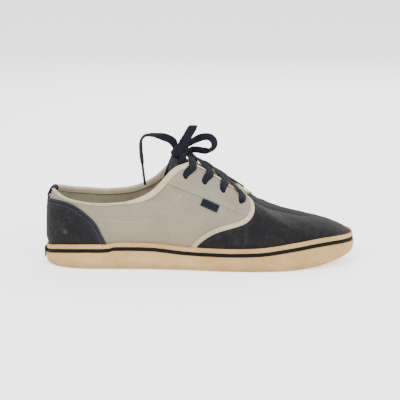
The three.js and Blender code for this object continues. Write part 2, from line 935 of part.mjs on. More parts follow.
// Routes of the free laces, as hand-chosen points from the knot, with the way the flat face looks.
const standingLoop = [
  { x: -3.6, y: -7.4, z: -3, face: [0, -1, 0.1] },
  { x: -1.6, y: -7.6, z: 1.6, face: [0, -1, 0.15] },
  { x: 3.4, y: -7.8, z: 9.6, face: [0, -1, 0.1] },
  { x: 8, y: -7.4, z: 17.4, face: [0, -1, 0.15] },
  { x: 12, y: -5.6, z: 23.8, face: [0, -0.9, 0.5] },
  { x: 13.6, y: -3, z: 26, face: [0, 0, 1] },
  { x: 13, y: -0.6, z: 24.2, face: [0, 0.9, 0.5] },
  { x: 9.4, y: 0.2, z: 17.8, face: [0, 1, 0] },
  { x: 5.2, y: 0, z: 10.4, face: [0, 1, 0] },
  { x: 1.2, y: 0, z: 4.7, face: [0, 1, 0] },
];
const ringLoop = [
  { x: 4.9, y: 4.8, z: 3.1, face: [-0.7, -0.4, 0.7] },
  { x: 10.4, y: 6.8, z: 7.8, face: [-0.5, -0.7, 0.6] },
  { x: 16.5, y: 7.2, z: 11.2, face: [-0.3, -0.8, 0.55] },
  { x: 22.6, y: 7.2, z: 13.4, face: [-0.05, -0.8, 0.6] },
  { x: 28.6, y: 7.5, z: 13.2, face: [0.35, -0.8, 0.5] },
  { x: 32.6, y: 7.7, z: 9.6, face: [0.55, -0.8, 0.15] },
  { x: 33.1, y: 7.7, z: 4.4, face: [0.6, -0.75, -0.2] },
  { x: 29.8, y: 7.6, z: 0.8, face: [0.35, -0.55, -0.75] },
  { x: 24, y: 7.3, z: 0, face: [0, -0.35, -0.95] },
  { x: 17.5, y: 6.6, z: 1.2, face: [-0.15, -0.25, -0.95] },
  { x: 11.5, y: 5.6, z: 1.4, face: [-0.2, -0.2, -0.95] },
  { x: 5.8, y: 4.6, z: -1.2, face: [-0.3, -0.2, -1] },
];
const hangingEnd = [
  { x: -3.8, y: 2.8, z: 3.9, face: [-0.3, -0.8, 0.5] },
  { x: -6.9, y: 5.1, z: 9.8, face: [-0.3, -0.85, 0.45] },
  { x: -14, y: 7.3, z: 13, face: [-0.2, -0.85, 0.5] },
  { x: -21.7, y: 9.3, z: 14.6, face: [-0.1, -0.5, 0.85] },
  { x: -30.4, y: 11.3, z: 14.9, face: [-0.1, -0.2, 1] },
  { x: -35.6, y: 13.3, z: 12, face: [-0.75, -0.25, 0.6] },
  { x: -37.6, y: 15.3, z: 5.3, face: [-0.95, -0.3, 0.1] },
  { x: -37.3, y: 17, z: -5.2, face: [-0.9, -0.42, -0.05] },
  { x: -36.2, y: 18, z: -15.7, face: [-0.9, -0.4, -0.1] },
];
const innerEnd = [
  { x: -1.2, y: 6.8, z: 0.6, face: [0, 0.2, 1] },
  { x: 0, y: 14, z: 2.5, face: [0, 0.3, 1] },
  { x: 5, y: 22.5, z: 0, face: [0.1, 0.65, 0.75] },
  { x: 12.5, y: 30, z: -12, face: [0.1, 0.8, 0.55] },
  { x: 16, y: 37, z: -24, face: [0.1, 0.9, 0.4] },
  { x: 18, y: 42.5, z: -37, face: [0.1, 0.95, 0.3] },
  { x: 19, y: 45.5, z: -48, face: [0.1, 1, 0.2] },
];

function routeFrames(route, steps) {
  const places = route.map((p) => new THREE.Vector3(p.x, p.y, p.z).add(knotPlace));
  const faces = route.map((p) => new THREE.Vector3(...p.face));
  const line = new THREE.CatmullRomCurve3(places, false, "centripetal");
  const looks = new THREE.CatmullRomCurve3(faces, false, "centripetal");
  return Array.from({ length: steps + 1 }, (_, i) => ({
    place: line.getPoint(i / steps),
    normal: looks.getPoint(i / steps),
  }));
}

function freeLace(route, steps) {
  return ribbon(routeFrames(route, steps), laceWidth, laceThick);
}

function aglet(route) {
  const frames = routeFrames(route, 20);
  const end = frames[frames.length - 1].place;
  const way = end.clone().sub(frames[frames.length - 2].place).normalize();
  const tip = new THREE.CylinderGeometry(agletRadius, agletRadius, agletLength, 8);
  tip.applyQuaternion(new THREE.Quaternion().setFromUnitVectors(new THREE.Vector3(0, 1, 0), way));
  const middle = end.addScaledVector(way, agletLength / 2 + clearance);
  tip.translate(middle.x, middle.y, middle.z);
  return solidOf(tip);
}

const finishes = {
  rubber: { color: 0xc9b48c, roughness: 0.75 },
  stripe: { color: 0x17181c, roughness: 0.6 },
  badge: { color: 0x4f5966, roughness: 0.6 },
  suede: { color: 0x303033, roughness: 0.95 },
  canvas: { color: 0xada798, roughness: 0.9 },
  tape: { color: 0xcfc8ae, roughness: 0.85 },
  edging: { color: 0x3a4258, roughness: 0.8 },
  lining: { color: 0xa8977c, roughness: 0.95 },
  lace: { color: 0x1c1e28, roughness: 0.85 },
  label: { color: 0x1d2230, roughness: 0.8 },
};

const shoe = new THREE.Group();

function place(name, solid, finish) {
  const material = new THREE.MeshStandardMaterial({ ...finishes[finish], metalness: 0 });
  const mesh = new THREE.Mesh(geometryOf(solid), material);
  mesh.name = name;
  shoe.add(mesh);
}

place("cup_sole", makeSole(), "rubber");
place("sole_stripe", makeStripe(), "stripe");
place("heel_badge", makeBadge(), "badge");
place("insole", makeInsole(), "lining");
place("upper", makeUpper(), "canvas");
place("heel_counter", makeCounter(), "suede");
place("counter_tape", makeCounterTape(), "edging");
place("quarter_tape_outer", quarterTape(-1), "tape");
place("quarter_tape_inner", quarterTape(1), "tape");
place("eyestay_outer", eyestay(-1), "canvas");
place("eyestay_inner", eyestay(1), "canvas");
place("collar_binding", makeCollarBinding(), "tape");
place("tongue", makeTongue(), "suede");
place("side_label", makeSideLabel(), "label");
place("heel_label", makeHeelLabel(), "label");
place("lace_crossings", makeCrossings(), "lace");
place("lace_knot", makeKnot(), "lace");
place("lace_loop_standing", freeLace(standingLoop, 24), "lace");
place("lace_loop_ring", freeLace(ringLoop, 26), "lace");
place("lace_end_hanging", freeLace(hangingEnd, 22), "lace");
place("lace_end_inner", freeLace(innerEnd, 18), "lace");
place("aglet_hanging", aglet(hangingEnd), "lace");
place("aglet_inner", aglet(innerEnd), "lace");

export default shoe;
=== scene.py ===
"""A right low-top skate shoe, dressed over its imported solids.

Lengths are millimetres until a mesh is made, when they become metres. +X points to the toe, +Y to the inner
side of the foot and +Z up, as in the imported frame.
"""
from __future__ import annotations

import logging
import math
from dataclasses import dataclass, field
from enum import Enum
from typing import Iterable, Sequence

import bpy
import numpy as np
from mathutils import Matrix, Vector

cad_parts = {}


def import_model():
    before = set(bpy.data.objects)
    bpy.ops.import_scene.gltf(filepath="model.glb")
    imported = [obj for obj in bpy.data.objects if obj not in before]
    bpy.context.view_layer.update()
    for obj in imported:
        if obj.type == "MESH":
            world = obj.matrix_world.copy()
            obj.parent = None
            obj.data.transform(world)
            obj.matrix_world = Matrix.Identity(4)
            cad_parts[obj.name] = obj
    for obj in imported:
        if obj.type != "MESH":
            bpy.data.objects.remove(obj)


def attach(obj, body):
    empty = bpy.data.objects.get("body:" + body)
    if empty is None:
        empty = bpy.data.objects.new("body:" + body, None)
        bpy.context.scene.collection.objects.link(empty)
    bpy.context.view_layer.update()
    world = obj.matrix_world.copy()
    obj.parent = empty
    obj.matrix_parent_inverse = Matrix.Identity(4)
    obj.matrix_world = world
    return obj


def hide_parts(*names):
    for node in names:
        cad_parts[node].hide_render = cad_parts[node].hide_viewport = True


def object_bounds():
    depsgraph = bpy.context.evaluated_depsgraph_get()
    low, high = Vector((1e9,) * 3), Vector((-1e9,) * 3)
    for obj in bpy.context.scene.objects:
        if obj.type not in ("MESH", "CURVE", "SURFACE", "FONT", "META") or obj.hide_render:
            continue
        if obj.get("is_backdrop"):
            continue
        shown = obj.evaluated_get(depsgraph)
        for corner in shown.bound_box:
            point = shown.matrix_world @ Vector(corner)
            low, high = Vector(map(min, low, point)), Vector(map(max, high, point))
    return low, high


LOG = logging.getLogger("skate_shoe")
MM = 0.001
BODY = "root"
Array = np.ndarray
Line = list[tuple[float, float]]


def srgb(red: int, green: int, blue: int) -> tuple[float, float, float, float]:
    """Turns a display colour into the linear colour that a shader takes.

    Args:
        red: Red from 0 to 255.
        green: Green from 0 to 255.
        blue: Blue from 0 to 255.

    Returns:
        The linear colour with an alpha of one.
    """
    def linear(value: int) -> float:
        """One channel, made linear."""
        share = value / 255
        return share / 12.92 if share <= 0.04045 else ((share + 0.055) / 1.055) ** 2.4

    return linear(red), linear(green), linear(blue), 1.0


def smooth(start: float, stop: float, value: Array) -> Array:
    """A soft step from 0 at start to 1 at stop."""
    share = np.clip((np.asarray(value, float) - start) / (stop - start), 0, 1)
    return share * share * (3 - 2 * share)


def cubic(table: Array, column: int, at: Array) -> Array:
    """Reads a column of a table by smooth cubics.

    Args:
        table: Rows whose first value is the station, in rising order.
        column: The column to read.
        at: Stations.

    Returns:
        The column's values at the stations.
    """
    stations, values = table[:, 0], table[:, column]
    last = len(stations) - 1
    below = np.maximum(np.arange(last + 1) - 1, 0)
    above = np.minimum(np.arange(last + 1) + 1, last)
    slope = (values[above] - values[below]) / (stations[above] - stations[below])
    at = np.asarray(at, float)
    i = np.clip(np.searchsorted(stations, at) - 1, 0, last - 1)
    span = stations[i + 1] - stations[i]
    t = (at - stations[i]) / span
    t2, t3 = t * t, t * t * t
    return (
        (2 * t3 - 3 * t2 + 1) * values[i]
        + (t3 - 2 * t2 + t) * span * slope[i]
        + (3 * t2 - 2 * t3) * values[i + 1]
        + (t3 - t2) * span * slope[i + 1]
    )


# Sections of the last: station, outer and inner half widths (0 the heel's, 1 the ball's), ridge height as a
# share of the instep's, and the rib's exponent.
SECTIONS = np.array([
    (0.0, -0.1, -0.1, 0.77, 4.0),
    (0.12, 0.0, 0.0, 0.87, 3.4),
    (0.25, 0.05, -0.02, 1.06, 2.7),
    (0.38, 0.22, -0.05, 1.115, 2.2),
    (0.5, 0.52, 0.12, 0.99, 2.05),
    (0.6, 0.82, 0.48, 0.86, 1.95),
    (0.7, 0.99, 0.86, 0.685, 1.95),
    (0.8, 0.95, 1.02, 0.535, 2.0),
    (0.9, 0.72, 1.02, 0.46, 1.9),
    (1.0, 0.45, 0.95, 0.418, 1.6),
])

# Heights along the sole: station, sidewall top, cup floor and lift of the underside, as shares of their sizes.
SOLE_HEIGHTS = np.array([
    (0.0, 0.74, 1.0, 0.1),
    (0.05, 0.88, 1.0, 0.0),
    (0.12, 0.95, 1.0, 0.0),
    (0.205, 0.97, 0.98, 0.0),
    (0.2265, 1.03, 0.97, 0.0),
    (0.35, 1.03, 0.9, 0.03),
    (0.455, 0.92, 0.8, 0.03),
    (0.6, 0.885, 0.68, 0.0),
    (0.7, 0.93, 0.66, 0.0),
    (0.8, 1.07, 0.7, 0.02),
    (0.9, 1.17, 0.9, 0.28),
    (1.0, 1.15, 1.3, 1.0),
])

# Side-view lines: x as a share of half the length, and up as a share of the line's height.
COLLAR_LINE: Line = [
    (-1.04, 0.3), (-0.97, 0.28), (-0.93, 0.25), (-0.885, 0.17), (-0.84, 0.105), (-0.74, 0.04), (-0.62, 0.0),
    (-0.47, 0.05), (-0.385, 0.16), (-0.33, 0.27), (-0.283, 0.41), (-0.24, 0.59), (-0.2, 0.78), (-0.155, 0.94),
    (-0.105, 1.0), (0.04, 1.1),
]
QUARTER_LINE: Line = [
    (0.372, 0.9), (0.364, 0.7), (0.352, 0.582), (0.337, 0.538), (0.305, 0.482), (0.26, 0.447), (0.16, 0.405),
    (0.09, 0.368), (0.021, 0.3), (-0.022, 0.235), (-0.06, 0.14),
]
COUNTER_LINE: Line = [
    (-1.04, 0.64), (-0.95, 0.655), (-0.865, 0.655), (-0.786, 0.622), (-0.717, 0.55), (-0.656, 0.458),
    (-0.62, 0.35), (-0.59, 0.25), (-0.575, 0.14),
]
EYESTAY_SEAM: Line = [(-0.26, 0.87), (-0.1, 0.768), (0.04, 0.69), (0.16, 0.61), (0.31, 0.51)]
EYELETS: Line = [(-0.091, 0.889), (0.029, 0.831), (0.143, 0.75), (0.254, 0.646)]
QUARTER_DOTS: list[Line] = [
    [(-0.568, 0.477), (-0.5, 0.47), (-0.439, 0.464), (-0.36, 0.472), (-0.3, 0.5)],
    [(-0.235, 0.552), (-0.197, 0.595), (-0.15, 0.683), (-0.128, 0.716)],
]

# Plan-view lines either side of the throat's middle: x as a share of half the length, y of half its gap.
THROAT_LINE: Line = [
    (-0.36, 1.3), (-0.16, 1.05), (0.0, 1.0), (0.114, 1.1), (0.188, 1.18), (0.235, 1.05), (0.268, 0.8),
    (0.282, 0.5), (0.286, 0.25),
]
TIP_LINE: Line = [(0.275, 0.3), (0.292, 0.58), (0.315, 0.9), (0.338, 1.4), (0.35, 1.9), (0.358, 2.4)]


@dataclass
class Shape:
    """Triangles with a place, two lengths of cloth and named masks at each corner.

    Attributes:
        points: Places in millimetres, one row each.
        faces: Corner numbers, three to a row.
        flow: Cloth lengths in millimetres, two to a row, which become the UV map.
        masks: Values from 0 to 1 for the finishes, by name.
    """

    points: Array
    faces: Array
    flow: Array | None = None
    masks: dict[str, Array] = field(default_factory=dict)

    def __post_init__(self) -> None:
        """Gives a shape without cloth lengths those of its side view."""
        if self.flow is None:
            self.flow = self.points[:, [0, 2]].copy()

    def plus(self, *others: "Shape") -> "Shape":
        """Joins other shapes to this one.

        Args:
            others: Shapes that stay as they are.

        Returns:
            One shape that holds them all.
        """
        shapes = (self, *others)
        starts = np.cumsum([0] + [len(s.points) for s in shapes[:-1]])
        names = sorted({name for s in shapes for name in s.masks})
        masks = {n: np.concatenate([s.masks.get(n, np.zeros(len(s.points))) for s in shapes]) for n in names}
        return Shape(
            np.vstack([s.points for s in shapes]),
            np.vstack([s.faces + start for s, start in zip(shapes, starts)]),
            np.vstack([s.flow for s in shapes]),
            masks,
        )

    def outward(self) -> "Shape":
        """Turns a closed shape's faces outwards, if they point in.

        Returns:
            The same shape.
        """
        a, b, c = (self.points[self.faces[:, k]] for k in range(3))
        if np.einsum("ij,ij->i", a, np.cross(b, c)).sum() < 0:
            self.faces = self.faces[:, ::-1].copy()
        return self

    def object(self, name: str, material: bpy.types.Material, sharp: float = 40) -> bpy.types.Object:
        """Makes the Blender object, in metres.

        Args:
            name: The piece's name.
            material: Its finish.
            sharp: Edges that turn by more degrees than this stay crisp.

        Returns:
            The new object, with its place in its mesh.
        """
        mesh = bpy.data.meshes.new(name)
        count = len(self.faces)
        mesh.vertices.add(len(self.points))
        mesh.vertices.foreach_set("co", (self.points * MM).astype(np.float32).ravel())
        mesh.loops.add(3 * count)
        mesh.loops.foreach_set("vertex_index", self.faces.astype(np.int32).ravel())
        mesh.polygons.add(count)
        mesh.polygons.foreach_set("loop_start", np.arange(0, 3 * count, 3, dtype=np.int32))
        mesh.update(calc_edges=True)
        layer = mesh.uv_layers.new(name="Flow")
        layer.data.foreach_set("uv", self.flow[self.faces.ravel()].astype(np.float32).ravel())
        for key, values in self.masks.items():
            attribute = mesh.attributes.new(key, "FLOAT", "POINT")
            attribute.data.foreach_set("value", values.astype(np.float32))
        mesh.validate()
        mesh.shade_smooth()
        mesh.set_sharp_from_angle(angle=math.radians(sharp))
        mesh.materials.append(material)
        piece = bpy.data.objects.new(name, mesh)
        bpy.context.scene.collection.objects.link(piece)
        return piece


@dataclass
class Path:
    """A line on a surface, with the surface's direction outwards at each point."""

    points: Array
    normals: Array

    @property
    def lengths(self) -> Array:
        """The distance from the start to each point."""
        steps = np.linalg.norm(np.diff(self.points, axis=0), axis=1)
        return np.concatenate([[0], np.cumsum(steps)])

    @property
    def along(self) -> Array:
        """The unit direction along the line at each point."""
        return unit(np.gradient(self.points, axis=0))

    @property
    def across(self) -> Array:
        """The unit direction across the line, in the surface."""
        return unit(np.cross(self.along, self.normals))

    def even(self, step: float, soft: int = 2) -> "Path":
        """The same line with points an even distance apart.

        Args:
            step: The distance between two points, in millimetres.
            soft: How many times the points are softened between their neighbours.

        Returns:
            A new line.
        """
        lengths = self.lengths
        count = max(3, int(round(lengths[-1] / step)) + 1)
        at = np.linspace(0, lengths[-1], count)
        points = np.stack([np.interp(at, lengths, self.points[:, k]) for k in range(3)], axis=1)
        normals = np.stack([np.interp(at, lengths, self.normals[:, k]) for k in range(3)], axis=1)
        for _ in range(soft):
            for values in (points, normals):
                values[1:-1] = (values[:-2] + 2 * values[1:-1] + values[2:]) / 4
        return Path(points, unit(normals))

    def moved(self, across: float | Array, up: float | Array) -> "Path":
        """The line moved across the surface and outwards from it.

        Args:
            across: How far across the surface.
            up: How far outwards.

        Returns:
            The moved line.
        """
        a = np.broadcast_to(np.asarray(across, float), (len(self.points),))[:, None]
        b = np.broadcast_to(np.asarray(up, float), (len(self.points),))[:, None]
        return Path(self.points + self.across * a + self.normals * b, self.normals)

    def part(self, start: float, stop: float) -> "Path":
        """The stretch between two shares of the line's length.

        Args:
            start: Where it starts, as a share.
            stop: Where it stops, as a share.

        Returns:
            The part of the line.
        """
        share = self.lengths / self.lengths[-1]
        keep = (share >= start) & (share <= stop)
        return Path(self.points[keep], self.normals[keep])

    def where(self, keep: Array) -> "Path":
        """The points that a mask keeps."""
        return Path(self.points[keep], self.normals[keep])


def unit(vectors: Array) -> Array:
    """Scales each row to a length of one."""
    size = np.linalg.norm(vectors, axis=-1, keepdims=True)
    return vectors / np.where(size > 1e-12, size, 1)


def quads(a: Array, b: Array, c: Array, d: Array) -> Array:
    """Two triangles for each face with four corners.

    Args:
        a: The faces' first corners, as numbers in an array of any shape.
        b: Their second corners.
        c: Their third corners.
        d: Their last corners.

    Returns:
        The triangles, three corners to a row.
    """
    return np.vstack([np.stack([a, b, c], -1).reshape(-1, 3), np.stack([a, c, d], -1).reshape(-1, 3)])


def tube_faces(number: Array, closed: bool = False) -> Array:
    """Triangles between rings of corners that lie one behind the other.

    Args:
        number: The corners' numbers, a row for each ring.
        closed: Whether the last ring meets the first.

    Returns:
        The triangles.
    """
    here = number if closed else number[:-1]
    ahead = np.roll(number, -1, axis=0) if closed else number[1:]
    return quads(here, np.roll(here, -1, axis=1), np.roll(ahead, -1, axis=1), ahead)


def sheet_faces(number: Array) -> Array:
    """Triangles over a grid of corners."""
    return quads(number[:-1, :-1], number[1:, :-1], number[1:, 1:], number[:-1, 1:])


def distinct(faces: Array) -> Array:
    """The triangles whose three corners differ."""
    return faces[(faces[:, 0] != faces[:, 1]) & (faces[:, 1] != faces[:, 2]) & (faces[:, 2] != faces[:, 0])]


def spline(points: Sequence[tuple[float, ...]], spans: int = 10) -> Array:
    """A smooth curve through points.

    Args:
        points: At least two points, in any number of dimensions.
        spans: How many steps each stretch between two points gets.

    Returns:
        The curve's points.
    """
    p = np.asarray(points, float)
    padded = np.vstack([p[:1], p, p[-1:]])
    t = np.linspace(0, 1, spans, endpoint=False)[:, None]
    parts = []
    for i in range(len(p) - 1):
        p0, p1, p2, p3 = padded[i:i + 4]
        v0, v1 = (p2 - p0) / 2, (p3 - p1) / 2
        parts.append(
            (2 * p1 - 2 * p2 + v0 + v1) * t**3 + (-3 * p1 + 3 * p2 - 2 * v0 - v1) * t**2 + v0 * t + p1
        )
    return np.vstack([*parts, p[-1:]])


def signed(line: Array, x: Array, y: Array) -> Array:
    """How far points lie from a line, positive on its left.

    Args:
        line: The line's points, two values each. Its ends go on for ever.
        x: The points' first values.
        y: The points' second values.

    Returns:
        The signed distances.
    """
    start, way = line[:-1], np.diff(line, axis=0)
    size = (way**2).sum(1)
    px, py = x[:, None] - start[None, :, 0], y[:, None] - start[None, :, 1]
    share = (px * way[:, 0] + py * way[:, 1]) / size
    low = np.zeros(len(way))
    low[0] = -np.inf
    high = np.ones(len(way))
    high[-1] = np.inf
    share = np.clip(share, low, high)
    distance = np.hypot(px - share * way[:, 0], py - share * way[:, 1])
    nearest = distance.argmin(1)
    rows = np.arange(len(x))
    side = np.sign(way[nearest, 0] * py[rows, nearest] - way[nearest, 1] * px[rows, nearest])
    return distance[rows, nearest] * np.where(side == 0, 1, side)


def soft_min(a: Array, b: Array, blend: float) -> Array:
    """The smaller of two values, rounded where they meet."""
    share = np.clip(0.5 + 0.5 * (b - a) / blend, 0, 1)
    return b * (1 - share) + a * share - blend * share * (1 - share)


@dataclass
class Skin:
    """A part of the last's surface: triangles with normals, cloth lengths and stations."""

    points: Array
    normals: Array
    faces: Array
    flow: Array
    at: Array
    across: Array

    def kept(self, values: Array) -> "Skin":
        """Cuts the skin along the line where a field is zero.

        Args:
            values: The field at each corner. The positive side stays.

        Returns:
            The part that stays, with a clean edge.
        """
        inside = values >= 0
        count = inside[self.faces].sum(1)
        whole = self.faces[count == 3]
        stack = np.column_stack([self.points, self.normals, self.flow, self.at, self.across])
        faces = [whole]
        total = len(stack)
        new_rows: list[Array] = []
        for inner in (1, 2):
            cut = self.faces[count == inner]
            if not len(cut):
                continue
            lone = inside[cut] if inner == 1 else ~inside[cut]
            turn = lone.argmax(1)
            rows = np.arange(len(cut))
            a, b, c = (cut[rows, (turn + k) % 3] for k in range(3))
            ids = []
            for other in (b, c):
                share = (values[a] / (values[a] - values[other]))[:, None]
                new_rows.append(stack[a] + (stack[other] - stack[a]) * share)
                ids.append(total + np.arange(len(cut)))
                total += len(cut)
            ab, ac = ids
            if inner == 1:
                faces.append(np.column_stack([a, ab, ac]))
            else:
                faces.append(np.column_stack([ab, b, c]))
                faces.append(np.column_stack([ab, c, ac]))
        stack = np.vstack([stack, *new_rows])
        joined = np.vstack(faces)
        keys = np.round(stack[:, :3], 4)
        used = np.unique(joined)
        _, first, back = np.unique(keys[used], axis=0, return_index=True, return_inverse=True)
        table = np.zeros(len(stack), int)
        table[used] = back.ravel()
        joined = distinct(table[joined])
        stack = stack[used][first]
        return Skin(stack[:, :3], unit(stack[:, 3:6]), joined, stack[:, 6:8], stack[:, 8], stack[:, 9])

    def edges(self) -> Array:
        """The border's edges, each in the direction of its face.

        Returns:
            The edges, two corners to a row.
        """
        pairs = np.vstack([self.faces[:, [0, 1]], self.faces[:, [1, 2]], self.faces[:, [2, 0]]])
        size = len(self.points)
        here = pairs[:, 0] * size + pairs[:, 1]
        back = pairs[:, 1] * size + pairs[:, 0]
        return pairs[~np.isin(here, back)]

    def shell(
        self, outer: Array | float, inner: Array | float, masks: dict[str, Array] | None = None
    ) -> Shape:
        """A closed wall between two distances from the last.

        Args:
            outer: How far the outside stands from the last, one value or one for each corner.
            inner: The same for the inside.
            masks: Values for the finish at each corner.

        Returns:
            The wall, with its rims closed.
        """
        count = len(self.points)
        top = self.points + self.normals * np.broadcast_to(outer, (count,))[:, None]
        low = self.points + self.normals * np.broadcast_to(inner, (count,))[:, None]
        rim = self.edges()
        a, b = rim[:, 0], rim[:, 1]
        walls = np.vstack([np.column_stack([b, a, a + count]), np.column_stack([b, a + count, b + count])])
        faces = np.vstack([self.faces, self.faces[:, ::-1] + count, walls])
        both = {name: np.concatenate([v, v]) for name, v in (masks or {}).items()}
        return Shape(np.vstack([top, low]), faces, np.vstack([self.flow, self.flow]), both)

    def trace(self, values: Array) -> list[Path]:
        """Follows the lines where a field is zero.

        Args:
            values: The field at each corner.

        Returns:
            The lines, the longest first.
        """
        values = np.where(values == 0, 1e-9, values)
        inside = values > 0
        count = inside[self.faces].sum(1)
        cut = self.faces[(count > 0) & (count < 3)]
        lone = np.where((count[(count > 0) & (count < 3)] == 1)[:, None], inside[cut], ~inside[cut])
        turn = lone.argmax(1)
        rows = np.arange(len(cut))
        a, b, c = (cut[rows, (turn + k) % 3] for k in range(3))
        size = len(self.points)
        links: dict[int, list[int]] = {}
        for first, second, third in zip(a.tolist(), b.tolist(), c.tolist()):
            one = min(first, second) * size + max(first, second)
            two = min(first, third) * size + max(first, third)
            links.setdefault(one, []).append(two)
            links.setdefault(two, []).append(one)
        ends = [key for key, near in links.items() if len(near) == 1]
        seen: set[int] = set()
        lines = []
        for start in [*ends, *links]:
            if start in seen:
                continue
            chain = [start]
            seen.add(start)
            while True:
                ahead = [key for key in links[chain[-1]] if key not in seen]
                if not ahead:
                    break
                chain.append(ahead[0])
                seen.add(ahead[0])
            if len(chain) > 3:
                keys = np.array(chain)
                p, q = keys // size, keys % size
                share = (values[p] / (values[p] - values[q]))[:, None]
                points = self.points[p] + (self.points[q] - self.points[p]) * share
                normals = self.normals[p] + (self.normals[q] - self.normals[p]) * share
                lines.append(Path(points, unit(normals)))
        return sorted(lines, key=lambda line: -line.lengths[-1])


@dataclass
class Last:
    """The form of the foot that the upper is drawn over, and the outline of the sole under it."""

    sole_length: float = 298
    ball_width: float = 106
    heel_width: float = 74
    instep_height: float = 102
    heel_round: float = 44
    toe_round: float = 92
    toe_shift: float = 7
    heel_lean: float = 27
    toe_lean: float = 51.5
    ridge_shift: float = 0.9
    last_drop: float = 2
    sidewall_height: float = 25
    floor_height: float = 14
    toe_spring: float = 10
    wall_inset: float = 3
    skirt_inset: float = 1.2
    skirt_depth: float = 5

    @property
    def half_length(self) -> float:
        """Half of the sole's length."""
        return self.sole_length / 2

    @property
    def side_shift(self) -> float:
        """How far the heel's middle lies to the outer side."""
        return -0.45 * self.toe_shift

    def sole_top(self, at: Array) -> Array:
        """The height of the sidewall's upper edge."""
        return self.sidewall_height * cubic(SOLE_HEIGHTS, 1, at)

    def cup_floor(self, at: Array) -> Array:
        """The height of the cup's floor."""
        return self.floor_height * cubic(SOLE_HEIGHTS, 2, at)

    def underside(self, at: Array) -> Array:
        """The height of the sole's underside."""
        return self.toe_spring * np.maximum(0, cubic(SOLE_HEIGHTS, 3, at))

    def swing(self, at: Array) -> Array:
        """How far the forefoot swings to the inner side."""
        return self.toe_shift * smooth(0.45, 1, at)

    def centre(self, at: Array) -> Array:
        """The middle of the sole, in Y."""
        return self.side_shift + self.swing(at)

    def end_round(self, at: Array, length: float) -> Array:
        """How far the outline has closed in towards its rounded heel and toe.

        Args:
            at: Stations from the heel, 0, to the toe, 1.
            length: The outline's length.

        Returns:
            Shares from 0 at the tips to 1.
        """
        heel_power, toe_power = 2.15, 2.25

        def quarter(distance: Array, radius: float, power: float) -> Array:
            """One rounded end."""
            near = np.clip(1 - distance / radius, 0, 1)
            return (1 - near**power) ** (1 / power)

        return quarter(at * length, self.heel_round, heel_power) * quarter(
            (1 - at) * length, self.toe_round, toe_power
        )

    def footprint(self, at: Array, side: Array | int, inset: Array | float) -> tuple[Array, Array]:
        """Points of the sole's outline.

        Args:
            at: Stations from the heel, 0, to the toe, 1.
            side: -1 on the outer side and 1 on the inner one.
            inset: How far inside the outline they lie.

        Returns:
            Their X and Y.
        """
        share = np.where(np.asarray(side) < 0, cubic(SECTIONS, 1, at), cubic(SECTIONS, 2, at))
        half = (self.heel_width + (self.ball_width - self.heel_width) * share) / 2 - inset
        length = self.sole_length - 2 * np.asarray(inset, float)
        x = -length / 2 + at * length
        return x, self.centre(at) + side * half * self.end_round(at, length)

    def ridge(self, at: Array) -> Array:
        """Points of the last's top line, before the collar and throat are cut.

        Args:
            at: Stations from the heel, 0, to the toe, 1.

        Returns:
            The points.
        """
        back = -self.half_length + self.heel_lean
        front = self.half_length - self.toe_lean
        return np.stack(
            [
                back + (front - back) * at,
                self.side_shift + self.swing(at) * self.ridge_shift,
                self.instep_height * cubic(SECTIONS, 3, at),
            ],
            axis=-1,
        )

    def side_point(self, at: Array, side: Array | int, turn: Array) -> Array:
        """Points on the last, where turn runs up a rib from the sole's edge, 0, to the ridge, 1.

        Args:
            at: Stations from the heel, 0, to the toe, 1.
            side: -1 on the outer side and 1 on the inner one.
            turn: Places up the rib, 0 at the sole's edge and 1 at the ridge.

        Returns:
            The points.
        """
        at, turn = np.broadcast_arrays(np.asarray(at, float), np.asarray(turn, float))
        power = 2 / cubic(SECTIONS, 4, at)
        x, y = self.footprint(at, side, self.wall_inset)
        ridge = self.ridge(at)
        base = self.sole_top(at) - self.last_drop
        out = np.where(turn >= 1, 0, np.maximum(np.cos(turn * math.pi / 2), 0) ** power)
        up = np.maximum(np.sin(turn * math.pi / 2), 0) ** power
        return np.stack(
            [
                ridge[..., 0] + (x - ridge[..., 0]) * out,
                ridge[..., 1] + (y - ridge[..., 1]) * out,
                base + (ridge[..., 2] - base) * up,
            ],
            axis=-1,
        )

    def on(self, at: Array, across: Array, offset: Array | float = 0) -> tuple[Array, Array]:
        """Points over the last and the directions outwards.

        Args:
            at: Stations from the heel to the toe.
            across: From the outer edge, -1, over the ridge, 0, to the inner edge, 1.
            offset: The distance from the last.

        Returns:
            The places and the normals.
        """
        step = 0.02

        def point(a: Array, w: Array) -> Array:
            """One place on either side."""
            return self.side_point(a, np.where(w < 0, -1, 1), 1 - np.abs(w))

        at, across = np.broadcast_arrays(np.asarray(at, float), np.asarray(across, float))
        ahead = point(np.minimum(1, at + step), across) - point(at - step, across)
        over = point(at, np.minimum(1, across + step)) - point(at, np.maximum(-1, across - step))
        normal = unit(np.cross(ahead, over))
        shift = np.broadcast_to(np.asarray(offset, float), at.shape)[..., None]
        return point(at, across) + normal * shift, normal

    def spots(self, count: int) -> Array:
        """Stations an even distance apart round the outline, from the heel to the toe.

        Args:
            count: How many stretches lie between them.

        Returns:
            The stations.
        """
        at = (1 - np.cos(np.linspace(0, math.pi, 2000))) / 2
        x, y = self.footprint(at, -1, 0)
        length = np.concatenate([[0], np.cumsum(np.hypot(np.diff(x), np.diff(y)))])
        return np.interp(np.linspace(0, length[-1], count + 1), length, at)

